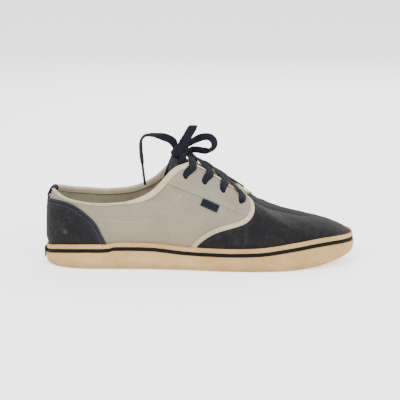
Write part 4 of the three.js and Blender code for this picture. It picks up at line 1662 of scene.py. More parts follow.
@dataclass
class Sole:
    """The cup sole, its stripe and the plate on its heel."""

    last: Last
    stations: int = 330
    strips: int = 72
    band: float = 4.6
    stripe: float = 3.0
    stripe_inset: float = 0.7
    edge_inset: float = 4.5
    tread_depth: float = 1.4
    groove: float = 2.4
    pitch: float = 15
    margin: float = 9
    badge: tuple[float, float, float] = (24, 9, 1.1)
    badge_z: float = 5.5
    gap: float = 0.3

    def _ring(self, inset: float, height: Array) -> Array:
        """One closed ring at an inset, the outer side first.

        Args:
            inset: How far inside the outline the ring lies.
            height: The ring's heights.

        Returns:
            The ring's points.
        """
        at = self._spots
        outer = np.stack([*self.last.footprint(at, -1, inset), height], axis=1)
        inner = np.stack([*self.last.footprint(at, 1, inset), height], axis=1)
        return np.vstack([outer, inner[-2:0:-1]])

    def _tread(self, x: Array, y: Array) -> Array:
        """How deep the tread is cut at points of the underside.

        Args:
            x: Places along the shoe.
            y: Places across it.

        Returns:
            Depths.
        """
        half = self.last.half_length
        at = np.clip((x + half) / self.last.sole_length, 0, 1)
        low = self.last.footprint(at, -1, self.margin)[1]
        high = self.last.footprint(at, 1, self.margin)[1]
        inside = smooth(0, 1.2, np.minimum(y - low, high - y))
        depth = np.zeros_like(x)
        for start, stop in ((-0.86, -0.42), (0.1, 0.78)):
            first = start * half
            count = math.floor((stop - start) * half / self.pitch)
            for i in range(count + 1):
                near = np.abs(x - first - i * self.pitch)
                cut = 1 - smooth(self.groove / 2 - 0.4, self.groove / 2 + 0.5, near)
                depth = np.maximum(depth, self.tread_depth * cut)
            end = first + count * self.pitch
            field_share = smooth(first - 6, first - 5, x) * (1 - smooth(end + 5, end + 6, x))
            zigzag = np.abs(((x + 2.2 * np.abs((y / 9) % 2 - 1)) / 4.6) % 1 - 0.5)
            depth = np.maximum(depth, field_share * 0.5 * (1 - smooth(0.12, 0.3, zigzag)))
        arch = smooth(-0.34 * half, -0.34 * half + 1, x) * (1 - smooth(0.02 * half - 1, 0.02 * half, x))
        return inside * np.maximum(depth, self.tread_depth * arch)

    def build(self, palette: Palette) -> None:
        """Makes and dresses the pieces.

        Args:
            palette: The finishes.
        """
        last, at = self.last, self.last.spots(self.stations)
        self._spots = at
        low, top = last.underside(at), last.sole_top(at)
        wave = 0.04 * np.sin(at * 61) + 0.02 * np.sin(at * 143 + 1)
        stripe_top = top - self.band + wave
        stripe_low = stripe_top - self.stripe + 0.03 * np.sin(at * 97)
        rows = [
            (self.edge_inset, low), (2.7, low + 0.3), (1.6, low + 0.95), (0.95, low + 2), (0.5, low + 4),
            (0.2, low + 6.2), (0.05, (low + 2 * stripe_low) / 3 + 0.5), (0.05, stripe_low - 3.0),
            (0.0, stripe_low - 2.3), (-0.22, stripe_low - 1.8),
            (-0.3, stripe_low - 1.3), (-0.22, stripe_low - 0.8),
            (0.05, stripe_low - 0.45), (0.5, stripe_low - 0.25), (2.0, stripe_low - 0.2), (2.0, stripe_top + 0.2),
            (1.5, stripe_top + 0.25), (1.15, stripe_top + 0.55), (1.0, stripe_top + 1.1), (1.0, top - 1.4),
            (1.08, top - 0.8), (1.3, top - 0.35), (1.7, top - 0.08), (2.2, top - 0.02), (2.55, top - 0.35),
            (2.72, top - 1.2), (2.75, top - 2.4), (3.9, top - 7), (3.9, last.cup_floor(at)),
        ]
        bumps = np.sin(np.concatenate([at, at[-2:0:-1]]) * 210) * 0.04
        rings = [self._ring(inset, height) for inset, height in rows]
        for k, ring in enumerate(rings):
            if 3 < k < 8:
                ring[:, 1] += bumps * np.sign(ring[:, 1])
        count = len(rings[0])
        points = np.vstack(rings)
        number = np.arange(len(points)).reshape(len(rings), count)
        faces = [tube_faces(number)]
        outer = np.arange(self.stations + 1)
        inner = (count - outer) % count
        inner[-1] = outer[-1]
        share = np.linspace(0, 1, self.strips + 1)[1:-1]
        left, right = rings[0][outer], rings[0][inner]
        grid = left[:, None] + (right - left)[:, None] * share[None, :, None]
        grid[..., 2] += self._tread(grid[..., 0].ravel(), grid[..., 1].ravel()).reshape(grid.shape[:2])
        start = len(points)
        inside = start + np.arange(grid.shape[0] * grid.shape[1]).reshape(grid.shape[:2])
        inside[0], inside[-1] = outer[0], outer[-1]
        table = np.column_stack([outer, inside, inner])
        points = np.vstack([points, grid.reshape(-1, 3)])
        faces.append(quads(table[:-1, :-1], table[:-1, 1:], table[1:, 1:], table[1:, :-1]))
        left, right = number[-1][outer], number[-1][inner]
        faces.append(quads(left[:-1], left[1:], right[1:], right[:-1]))
        shape = compact(Shape(points, distinct(np.vstack(faces)))).outward()
        piece = palette.dress(shape, "cup_sole_moulded", "aged_rubber", 35)
        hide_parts("cup_sole")
        self._stripe(palette, stripe_low, stripe_top)
        self._badge(palette)

    def _stripe(self, palette: Palette, low: Array, top: Array) -> None:
        """The black stripe in its groove.

        Args:
            palette: The finishes.
            low: The lower edge's heights.
            top: The upper edge's heights.
        """
        inset = self.stripe_inset
        rows = [
            (inset + 1.2, low), (inset + 0.25, low + 0.02), (inset, low + 0.35), (inset - 0.08, (low + top) / 2),
            (inset, top - 0.35), (inset + 0.25, top - 0.02), (inset + 1.2, top),
        ]
        rings = [self._ring(i, z) for i, z in rows]
        number = np.arange(sum(len(r) for r in rings)).reshape(len(rings), -1)
        shape = Shape(np.vstack(rings), tube_faces(number, True)).outward()
        piece = palette.dress(shape, "stripe_moulded", "black_rubber")
        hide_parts("sole_stripe")

    def _badge(self, palette: Palette) -> None:
        """A bare plate with a thin raised rim.

        Args:
            palette: The finishes.
        """
        width, height, thick = self.badge
        dense = np.linspace(0, 0.05, 400)
        sides = []
        for side in (-1, 1):
            x, y = self.last.footprint(dense, side, -self.gap)
            keep = np.abs(y) <= width / 2
            sides.append(np.stack([x, y], axis=1)[keep])
        line = np.vstack([sides[0][::-1], sides[1][1:]])
        points = np.column_stack([line, np.full(len(line), self.badge_z + height / 2)])
        way = unit(np.gradient(points, axis=0))
        path = Path(points, unit(np.cross(np.array([[0, 0, 1.0]]), way))).even(0.6, 0)
        h = height / 2
        rise = [(-h, 0), (-h, thick - 0.3), (-h + 0.3, thick), (-h + 0.9, thick), (-h + 1.2, thick - 0.35)]
        outline = np.array([*rise, *((-across, up) for across, up in rise[::-1])])
        plate = swept(path, outline)
        rims = []
        for spot in (path.part(0, 0.05), path.part(0.95, 1)):
            rims.append(swept(spot, pill(height - 1.6, 0.5, 0, thick - 0.55)))
        piece = palette.dress(plate.plus(*rims), "badge_plate", "badge_rubber", 30)
        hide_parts("heel_badge")


def compact(shape: Shape) -> Shape:
    """Drops the corners that no face uses.

    Args:
        shape: The shape.

    Returns:
        The same shape without them.
    """
    used = np.unique(shape.faces)
    table = np.zeros(len(shape.points), int)
    table[used] = np.arange(len(used))
    masks = {k: v[used] for k, v in shape.masks.items()}
    return Shape(shape.points[used], table[shape.faces], shape.flow[used], masks)


@dataclass(frozen=True)
class Crease:
    """A fold across the vamp: a trough with a softer ridge behind it.

    Attributes:
        at: Its station on the ridge.
        lean: How much the station grows towards the outer side.
        bow: How much both of its ends run forward.
        width: Half the trough's width in millimetres.
        depth: The trough's depth in millimetres.
        outer: How far it reaches on the outer side.
        inner: How far it reaches on the inner side.
    """

    at: float
    lean: float
    bow: float
    width: float
    depth: float
    outer: float = 0.7
    inner: float = 0.7


CREASES = [
    Crease(0.705, 0.02, 0.08, 1.8, 0.28, 0.5, 0.60),
    Crease(0.727, -0.03, 0.10, 1.5, 0.32, 0.6, 0.55),
    Crease(0.752, 0.05, 0.04, 2.0, 0.32, 0.7, 0.70),
    Crease(0.778, 0.0, 0.12, 1.7, 0.26, 0.75, 0.5),
    Crease(0.806, -0.04, 0.08, 2.2, 0.22, 0.6, 0.5),
    Crease(0.742, 0.12, 0.02, 1.6, 0.22, 0.9, 0.15),
]


@dataclass
class Upper:
    """The hollow upper: vamp, quarters, lining, facings, counter, tapes, labels and footbed."""

    last: Last
    fields: Fields
    wall: float = 1.8
    step: float = 0.8
    gap: float = 0.3
    overlay: float = 1.0
    eyestay: float = 0.7
    tape: float = 0.8
    tape_width: float = 4.6
    counter_tape: float = 5.0
    counter_tape_thick: float = 1.3
    eyelet: float = 2.2
    insole: float = 3.5
    side_label: tuple[float, float] = (18, 7.2)
    heel_label: tuple[float, float] = (15, 8)

    def __post_init__(self) -> None:
        """Works out the skin and the lines on it."""
        self.skin = self.last.skin(236, 84)
        self.coarse = self.last.skin(130, 46)

    def _creased(self, skin: Skin) -> tuple[Array, Array]:
        """The creases' depth over the vamp, and how worn their crests are.

        Args:
            skin: The skin.

        Returns:
            The depths and the wear.
        """
        rise = np.zeros(len(skin.points))
        worn = np.zeros(len(skin.points))
        length = 0.78 * self.last.sole_length
        for crease in CREASES:
            centre = crease.at - crease.lean * skin.across + crease.bow * skin.across**2
            centre += 0.006 * np.sin(11 * skin.across + 90 * crease.at)
            away = (skin.at - centre) * length
            reach = np.where(skin.across < 0, crease.outer, crease.inner)
            fade = 1 - smooth(0.45, 1, np.abs(skin.across) / reach)
            trough = np.exp(-((away / crease.width) ** 2))
            crest = np.exp(-(((np.abs(away) - 1.9 * crease.width) / crease.width) ** 2))
            rise += fade * crease.depth * (0.5 * crest - trough)
            worn += fade * crest * 0.1
        return rise, np.clip(worn, 0, 1)

    def _ripple(self, skin: Skin, size: float, depth: float, seed: float) -> Array:
        """A slow unevenness of hand-lasted cloth.

        Args:
            skin: The skin.
            size: How far apart the waves lie, in millimetres.
            depth: The waves' height.
            seed: Sets one cloth's waves off from another's.

        Returns:
            The heights.
        """
        x, y, z = (skin.points / size).T
        return depth * (
            np.sin(1.7 * x + 2.3 * z + seed) * np.sin(2.1 * y - 1.3 * z + 2 * seed)
            + 0.5 * np.sin(3.9 * x - 2.7 * z + 3 * seed)
        )

    def build(self, palette: Palette) -> None:
        """Makes and dresses the pieces.

        Args:
            palette: The finishes.
        """
        self._vamp(palette)
        self._quarters(palette)
        self._lining(palette)
        self._counter(palette)
        self._facings(palette)
        self._tapes(palette)
        self._collar(palette)
        self._labels(palette)
        self._footbed(palette)

    def _vamp(self, palette: Palette) -> None:
        """The suede toe and vamp.

        Args:
            palette: The finishes.
        """
        f = self.fields
        part = self.skin.kept(4 - f.behind_quarter(self.skin))
        part = part.kept(f.off_throat(part))
        part = part.kept(f.over_sole(part) + 5)
        rise, worn = self._creased(part)
        edge = f.off_throat(part)
        over = f.over_sole(part)
        rim = 1 - smooth(0, 2, over)
        toe = smooth(118, 140, part.points[:, 0]) * (1 - smooth(4, 14, over))
        quarter = np.exp(-((f.behind_quarter(part) / 2.5) ** 2))
        worn = np.clip(worn + 0.05 * rim + 0.1 * toe + 0.06 * quarter, 0, 0.4)
        outer = rise * smooth(0, 6, edge) + self._ripple(part, 9, 0.12, 1.0) * smooth(0, 5, over)
        outer -= 0.5 * (1 - smooth(-2, 3, over))
        shape = part.shell(outer, -1.0, {"Worn": worn})
        piece = palette.dress(shape, "vamp", "suede", 50)
        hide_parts("upper")

    def _quarters(self, palette: Palette) -> None:
        """The canvas quarters, a step proud of the vamp.

        Args:
            palette: The finishes.
        """
        f = self.fields
        part = self.skin.kept(f.behind_quarter(self.skin) - 0.4)
        part = part.kept(-f.over_collar(part))
        part = part.kept(f.off_throat(part))
        part = part.kept(f.off_eyelets(part, self.eyelet))
        part = part.kept(f.over_sole(part) + 4)
        soft = smooth(0, 8, f.over_sole(part)) * smooth(0, 6, -f.over_collar(part))
        soft *= smooth(0, 6, f.behind_quarter(part))
        outer = self.step * f.tuck(part) + self._ripple(part, 14, 0.22, 0.4) * soft
        outer = np.minimum(outer, self.step + 0.2)
        piece = palette.dress(part.shell(outer, -0.9), "quarters", "canvas", 50)
        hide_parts("upper")

    def _lining(self, palette: Palette) -> None:
        """The lining, all over the inside.

        Args:
            palette: The finishes.
        """
        f = self.fields
        part = self.coarse.kept(-f.over_collar(self.coarse))
        part = part.kept(f.off_throat(part))
        part = part.kept(f.off_eyelets(part, self.eyelet))
        inner = -self.wall + self._ripple(part, 11, 0.12, 2.0) * smooth(0, 8, -f.over_collar(part))
        piece = palette.dress(part.shell(-1.05, inner), "inside_lining", "lining", 50)
        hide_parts("upper")

    def _counter(self, palette: Palette) -> None:
        """The suede heel counter and its navy edging.

        Args:
            palette: The finishes.
        """
        f = self.fields
        part = self.skin.kept(-f.over_counter(self.skin) - 1.2)
        part = part.kept(-f.over_collar(part) - 1.0)
        part = part.kept(f.over_sole(part) + 4)
        tuck = f.tuck(part)
        base = self.step + self.gap
        low = 1 - smooth(0, 2.5, f.over_sole(part))
        spot = np.exp(-(((part.points[:, 0] + 126) / 1.8) ** 2 + ((part.points[:, 2] - 35) / 1.8) ** 2))
        spot *= (part.across < 0)
        edge = np.exp(-(((f.over_counter(part) + 6) / 2) ** 2))
        ripple = self._ripple(part, 8, 0.1, 3.0) * smooth(0, 6, f.over_sole(part))
        shape = part.shell(
            (base + self.overlay) * tuck + ripple, (base - 0.25) * tuck,
            {"Worn": np.clip(0.05 * low + 0.4 * spot + 0.04 * edge, 0, 0.5)},
        )
        piece = palette.dress(shape, "counter_suede", "suede", 50)
        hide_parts("heel_counter")
        middle = f.over_counter(self.skin) + self.counter_tape / 2
        limit = np.minimum(-f.over_collar(self.skin) - 1.5, f.over_sole(self.skin) + 0.5)
        lines = self.lines(middle, limit)
        self.counter_lines = [line for line in lines if line.lengths[-1] > 40][:1]
        strips = []
        for line in self.counter_lines:
            tuck = 0.12 + 0.88 * smooth(0, 8, line.points[:, 2] - self.last.sidewall_height * 0.98)
            section = pill(self.counter_tape, self.counter_tape_thick, 0, 0)[None] + np.stack(
                [np.zeros(len(tuck)), (base + 0.1) * tuck], axis=1
            )[:, None]
            strips.append(swept(line, section))
        piece = palette.dress(strips[0].plus(*strips[1:]), "counter_edging", "edging", 60)
        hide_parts("counter_tape")

    def lines(self, values: Array, limit: Array, step: float = 1.2) -> list[Path]:
        """Lines where a field is zero, cut off where a limit turns negative.

        Args:
            values: The field over the skin.
            limit: Positive where the line may run.
            step: The distance between points.

        Returns:
            Even, softened lines, the longest first.
        """
        # The field and its limit ride in the cloth lengths, so that they are cut with the skin.
        inside = Skin(
            self.skin.points, self.skin.normals, self.skin.faces,
            np.column_stack([values, limit]), self.skin.at, self.skin.across,
        ).kept(limit)
        return [line.even(step, 5) for line in inside.trace(inside.flow[:, 0]) if line.lengths[-1] > 4]

    def _facings(self, palette: Palette) -> None:
        """The facings with their punched eyelets, and the thin tape along their edges.

        Args:
            palette: The finishes.
        """
        f = self.fields
        base = self.step + 0.05
        for side, name in ((-1, "outer"), (1, "inner")):
            at = np.linspace(0.33, 0.86, 150)
            across = np.linspace(0.03, 0.75, 110) * side
            grid_at, grid_across = np.meshgrid(at, across, indexing="ij")
            points, normals = self.last.on(grid_at, grid_across)
            number = np.arange(grid_at.size).reshape(grid_at.shape)
            faces = sheet_faces(number)
            if side < 0:
                faces = faces[:, ::-1]
            points = points.reshape(-1, 3)
            patch = Skin(
                points, normals.reshape(-1, 3), faces, points[:, [0, 2]].copy(),
                grid_at.ravel(), grid_across.ravel(),
            )
            for trim in (
                lambda s: f.over_seam(s),
                lambda s: f.behind_quarter(s) - 2.5,
                lambda s: -f.over_collar(s) - 1.0,
                lambda s: f.off_throat(s) - 0.2,
            ):
                patch = patch.kept(trim(patch))
            edge = np.minimum(f.over_seam(patch), 2)
            hole = f.off_eyelets(patch, self.eyelet)
            outer = base + self.eyestay + 0.25
            outer = outer - 0.45 * (1 - smooth(0, 0.5, edge)) - 0.25 * (1 - smooth(0, 2.2, hole))
            # The outer height rides in the place across, so that it is cut with the patch.
            patch = Skin(patch.points, patch.normals, patch.faces, patch.flow, patch.at, outer).kept(hole)
            piece = palette.dress(patch.shell(patch.across, base), f"facing_{name}", "canvas", 50)
            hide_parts(f"eyestay_{name}")
        throat = f.off_throat(self.skin)
        limit = np.minimum(-f.over_collar(self.skin) - 0.5, f.behind_quarter(self.skin) - 1)
        lines = self.lines(throat - 0.1, limit, 1.0)[:2]
        turned = spline([
            (1.7, 2.35), (0.6, 2.4), (-0.35, 2.1), (-0.55, 0.2), (-0.35, -2.0), (0.6, -2.3), (2.2, -2.3),
        ], 3)
        edges = []
        for line in lines:
            inward = np.sign(np.einsum("ij,ij->i", line.across, np.array([[0, 1.0, 0]])).mean())
            aside = np.sign(line.points[:, 1].mean() - f.middle)
            section = thick_line(turned * np.array([[inward * aside, 1]]), 0.7)
            edges.append(swept(line, section))
        self.throat_lines = lines
        piece = palette.dress(edges[0].plus(*edges[1:]), "facing_edges", "tape", 60)

    def _tapes(self, palette: Palette) -> None:
        """The cream tapes on the quarters' front edges.

        Args:
            palette: The finishes.
        """
        f = self.fields
        middle = f.behind_quarter(self.skin) - self.tape_width / 2
        limit = np.minimum(f.over_sole(self.skin) + 0.5, f.off_throat(self.skin) + 0.3)
        lines = [line for line in self.lines(middle, limit) if line.lengths[-1] > 40]
        self.tape_lines = {}
        for line in lines[:2]:
            side = -1 if line.points[:, 1].mean() < f.middle else 1
            self.tape_lines[side] = line
            name = "outer" if side < 0 else "inner"
            tuck = 0.15 + 0.85 * smooth(0, 8, line.points[:, 2] - self.last.sidewall_height * 0.9)
            lift = np.stack([np.zeros(len(tuck)), (self.step + 0.15) * tuck], axis=1)[:, None]
            strip = swept(line, pill(self.tape_width, self.tape + 0.2)[None] + lift)
            piece = palette.dress(strip, f"front_tape_{name}", "tape", 60)
            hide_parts(f"quarter_tape_{name}")

    @staticmethod
    def collar_size(line: Path) -> tuple[Array, Array]:
        """How wide the binding shows along the collar, and how far it stands out."""
        x = line.points[:, 0]
        return 0.5 + 3.7 * smooth(-74, -42, x), 1.25 + 0.8 * smooth(-62, -40, x)

    def _collar(self, palette: Palette) -> None:
        """The cream binding that is turned over the collar's edge.

        Args:
            palette: The finishes.
        """
        f = self.fields
        rim = f.over_collar(self.skin)
        line = self.lines(rim - 0.2, f.off_throat(self.skin) + 0.2, 1.1)[0]
        self.collar_line = line
        up = np.sign(line.across[len(line.points) // 2, 2])
        wide, proud = self.collar_size(line)
        sections = []
        for width, out in zip(wide, proud):
            u_shape = spline([
                (-width, out), (-width * 0.5, out + 0.08), (-0.3, out), (0.75, out - 0.9), (0.95, -0.5),
                (0.7, -1.6), (-0.4, -2.35), (-2.2, -2.4), (-4.2, -2.3),
            ], 3) * np.array([[up, 1]])
            sections.append(thick_line(u_shape, 0.75))
        piece = palette.dress(swept(line, np.stack(sections)), "collar_tape", "tape", 60)
        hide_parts("collar_binding")
        self.collar_up = up

    def _labels(self, palette: Palette) -> None:
        """The bare woven labels on the seam and over the heel.

        Args:
            palette: The finishes.
        """
        f = self.fields
        width, drop = self.side_label
        seam = f.over_seam(self.skin) + drop / 2 + self.gap
        line = max(self.lines(seam, f.middle - 6 - self.skin.points[:, 1]), key=lambda p: p.lengths[-1])
        start = 0.5 * self.last.half_length * 0.04
        if line.points[0, 0] > line.points[-1, 0]:
            line = Path(line.points[::-1], line.normals[::-1])
        near = line.where((line.points[:, 0] > start - 1.5) & (line.points[:, 0] < start + 24))
        lengths = near.lengths - near.lengths[0]
        near = near.where(lengths <= width)
        base = self.step + self.gap
        label = swept(near.even(0.8, 1), pill(drop, 0.8, 0, base))
        piece = palette.dress(label, "seam_label", "label_cloth", 50)
        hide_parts("side_label")
        self.label_line = near
        width, drop = self.heel_label
        collar = self.collar_line
        aside = np.abs(collar.points[:, 1] - self.last.side_shift)
        near = collar.where((aside < width / 2) & (collar.points[:, 0] < -90))
        u_shape = spline([
            (-drop, 1.8), (-drop * 0.5, 2.1), (-1.2, 2.2), (1.2, 1.3), (1.75, -0.4), (1.3, -2.2), (-0.8, -3.3),
            (-3.2, -3.4), (-5.2, -3.3),
        ], 3) * np.array([[self.collar_up, 1]])
        label = swept(near.even(0.8, 0), thick_line(u_shape, 0.75))
        piece = palette.dress(label, "heel_loop_label", "label_cloth", 60)
        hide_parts("heel_label")

    def _footbed(self, palette: Palette) -> None:
        """The insole, dished where the foot has pressed it.

        Args:
            palette: The finishes.
        """
        at = self.last.spots(150)
        share = np.linspace(-1, 1, 41)
        inset = self.last.wall_inset + 1.2 + self.wall + 0.5
        x, low_y = self.last.footprint(at, -1, inset)
        high_y = self.last.footprint(at, 1, inset)[1]
        middle, half = (low_y + high_y) / 2, (high_y - low_y) / 2
        floor = self.last.cup_floor(at) + self.gap
        y = middle[:, None] + half[:, None] * share[None, :]
        heel = np.exp(-(((x[:, None] + 112) / 26) ** 2 + ((y + 3) / 22) ** 2))
        ball = np.exp(-(((x[:, None] - 42) / 30) ** 2 + ((y + 1) / 34) ** 2))
        arch = np.exp(-(((x[:, None] + 30) / 38) ** 2)) * smooth(0, 1, share)[None, :]
        rim = smooth(0.82, 1, np.abs(share))[None, :]
        top = floor[:, None] + self.insole - 0.9 * heel - 0.7 * ball + 2.5 * arch - 0.5 * rim
        upper = np.stack([np.broadcast_to(x[:, None], y.shape), y, top], -1)
        lower = upper.copy()
        lower[..., 2] = floor[:, None]
        number = np.arange(y.size).reshape(y.shape)
        sheet = sheet_faces(number)
        total = y.size
        loop = np.concatenate([number[:, 0], number[-1, 1:], number[-2::-1, -1], number[0, -2:0:-1]])
        nxt = np.roll(loop, -1)
        walls = quads(loop, loop + total, nxt + total, nxt)
        points = np.vstack([upper.reshape(-1, 3), lower.reshape(-1, 3)])
        shape = Shape(points, np.vstack([sheet, sheet[:, ::-1] + total, walls]), points[:, :2].copy())
        piece = palette.dress(welded(shape), "footbed", "footbed", 50)
        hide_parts("insole")


def welded(shape: Shape) -> Shape:
    """Merges corners in one place and drops the faces that collapse.

    Args:
        shape: The shape.

    Returns:
        The closed shape.
    """
    keys = np.round(shape.points, 3)
    _, first, back = np.unique(keys, axis=0, return_index=True, return_inverse=True)
    faces = distinct(back.ravel()[shape.faces])
    masks = {k: v[first] for k, v in shape.masks.items()}
    return compact(Shape(shape.points[first], faces, shape.flow[first], masks)).outward()


@dataclass
class Tongue:
    """The padded tongue under the laces."""

    last: Last
    fields: Fields
    thick: float = 4.5
    width: float = 66
    top: tuple[float, float] = (-24, 111)
    slope: float = 0.42
    root: float = 46
    outer: float = -3.75

    def build(self, skin: Skin, palette: Palette) -> Path:
        """Makes and dresses the tongue.

        Args:
            skin: The last's skin.
            palette: The finishes.

        Returns:
            The line a little inside its edge, for its seam.
        """
        f = self.fields
        base = THROAT_LINE[-1][0] * self.last.half_length
        half = self.width / 2

        def edge(s: Skin) -> Array:
            """Distance inside the tongue's outline.

            Args:
                s: The skin.

            Returns:
                Distances.
            """
            x, y, z = s.points.T
            stations = [-0.5 * self.last.half_length, 0.4 * base, base + 10]
            wide = np.interp(x, stations, [half, 0.8 * half, 0.62 * half])
            sides = wide - np.abs(y - f.middle) - 0.5
            cut = (x - self.top[0] - self.slope * (z - self.top[1])) / math.hypot(1, self.slope) - 0.6
            front = np.minimum(base + 9 - x, z - self.root)
            return np.minimum(soft_min(sides, cut, 9), front)

        part = skin.kept(edge(skin))
        away = edge(part)
        swell = np.sqrt(np.clip(1 - (1 - np.clip(away / 8, 0, 1)) ** 2, 0, 1))
        slim = (self.thick - 1.3) * (1 - swell)
        outer = self.outer - 0.45 * slim
        pad = part.shell(outer, outer - self.thick + 0.6 + 0.75 * slim)
        piece = palette.dress(pad, "tongue_pad", "tongue_cloth", 60)
        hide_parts("tongue")
        line = [p.even(1.2, 5) for p in skin.trace(edge(skin) - 1.4) if p.lengths[-1] > 60][0]
        line = line.where(line.points[:, 2] > self.root + 3)
        strip = swept(line, pill(3.6, 2.9, 0, self.outer - 2.7))
        palette.dress(strip, "tongue_binding", "tongue_cloth", 60)
        return line


def eased(points: Sequence[tuple[float, ...]], steps: int) -> Array:
    """A centripetal curve through points, as the free laces run.

    Args:
        points: The points, in any number of dimensions.
        steps: How many stretches the curve gets.

    Returns:
        The curve's points.
    """
    p = np.asarray(points, float)
    padded = np.vstack([2 * p[0] - p[1], p, 2 * p[-1] - p[-2]])
    spans = len(p) - 1
    result = []
    for share in np.linspace(0, spans, steps + 1):
        i = min(int(share), spans - 1)
        t = share - i
        p0, p1, p2, p3 = padded[i:i + 4]
        d0, d1, d2 = (max(np.linalg.norm(b - a), 1e-4) ** 0.5 for a, b in ((p0, p1), (p1, p2), (p2, p3)))
        v1 = ((p1 - p0) / d0 - (p2 - p0) / (d0 + d1) + (p2 - p1) / d1) * d1
        v2 = ((p2 - p1) / d1 - (p3 - p1) / (d1 + d2) + (p3 - p2) / d2) * d1
        result.append(
            (2 * p1 - 2 * p2 + v1 + v2) * t**3 + (-3 * p1 + 3 * p2 - 2 * v1 - v2) * t**2 + v1 * t + p1
        )
    return np.array(result)


class FarEnd(Enum):
    """What a free lace ends in."""

    KNOT = "knot"
    TIP = "fitting"


@dataclass(frozen=True)
class FreeLace:
    """A loop or end of the bow, from the knot's middle: place, and the way its flat face looks."""

    name: str
    node: str
    end: FarEnd
    route: tuple
    tip_node: str = ""


STANDING = FreeLace("bow_loop_standing", "lace_loop_standing", FarEnd.KNOT, (
    (-3.6, -7.4, -3, 0, -1, 0.1), (-1.6, -7.6, 1.6, 0, -1, 0.15), (3.4, -7.8, 9.6, 0, -1, 0.1),
    (8, -7.4, 17.4, 0, -1, 0.15), (12, -5.6, 23.8, 0, -0.9, 0.5), (13.6, -3, 26, 0, 0, 1),
    (13, -0.6, 24.2, 0, 0.9, 0.5), (9.4, 0.2, 17.8, 0, 1, 0), (5.2, 0, 10.4, 0, 1, 0), (1.2, 0, 4.7, 0, 1, 0),
))
RING = FreeLace("bow_loop_ring", "lace_loop_ring", FarEnd.KNOT, (
    (4.9, 4.8, 3.1, -0.7, -0.4, 0.7), (10.4, 6.8, 7.8, -0.5, -0.7, 0.6), (16.5, 7.2, 11.2, -0.3, -0.8, 0.55),
    (22.6, 7.2, 13.4, -0.05, -0.8, 0.6), (28.6, 7.5, 13.2, 0.35, -0.8, 0.5),
    (32.6, 7.7, 9.6, 0.55, -0.8, 0.15), (33.1, 7.7, 4.4, 0.6, -0.75, -0.2),
    (29.8, 7.6, 0.8, 0.35, -0.55, -0.75), (24, 7.3, 0, 0, -0.9, -0.45),
    (17.5, 6.6, 1.2, -0.1, -0.9, -0.42), (11.5, 5.6, 1.4, -0.15, -0.85, -0.5),
    (5.8, 4.6, -1.2, -0.3, -0.2, -1),
))
HANGING = FreeLace("bow_end_hanging", "lace_end_hanging", FarEnd.TIP, (
    (-3.8, 2.8, 3.9, -0.3, -0.8, 0.5), (-6.9, 5.1, 9.8, -0.3, -0.85, 0.45), (-14, 7.3, 13, -0.2, -0.85, 0.5),
    (-21.7, 9.3, 14.6, -0.1, -0.5, 0.85), (-30.4, 11.3, 14.9, -0.1, -0.2, 1),
    (-35.6, 13.3, 12, -0.75, -0.25, 0.6), (-37.6, 15.3, 5.3, -0.88, -0.45, 0.1),
    (-37.3, 17, -5.2, -0.86, -0.5, -0.05), (-36.2, 18, -15.7, -0.88, -0.45, -0.1),
), "aglet_hanging")
INNER = FreeLace("bow_end_inner", "lace_end_inner", FarEnd.TIP, (
    (-1.2, 6.8, 0.6, 0, 0.2, 1), (0, 14, 2.5, 0, 0.3, 1), (5, 22.5, 0, 0.1, 0.65, 0.75),
    (12.5, 30, -12, 0.1, 0.8, 0.55), (16, 37, -24, 0.1, 0.9, 0.4), (18, 42.5, -37, 0.1, 0.95, 0.3),
    (19, 45.5, -48, 0.1, 1, 0.2),
), "aglet_inner")


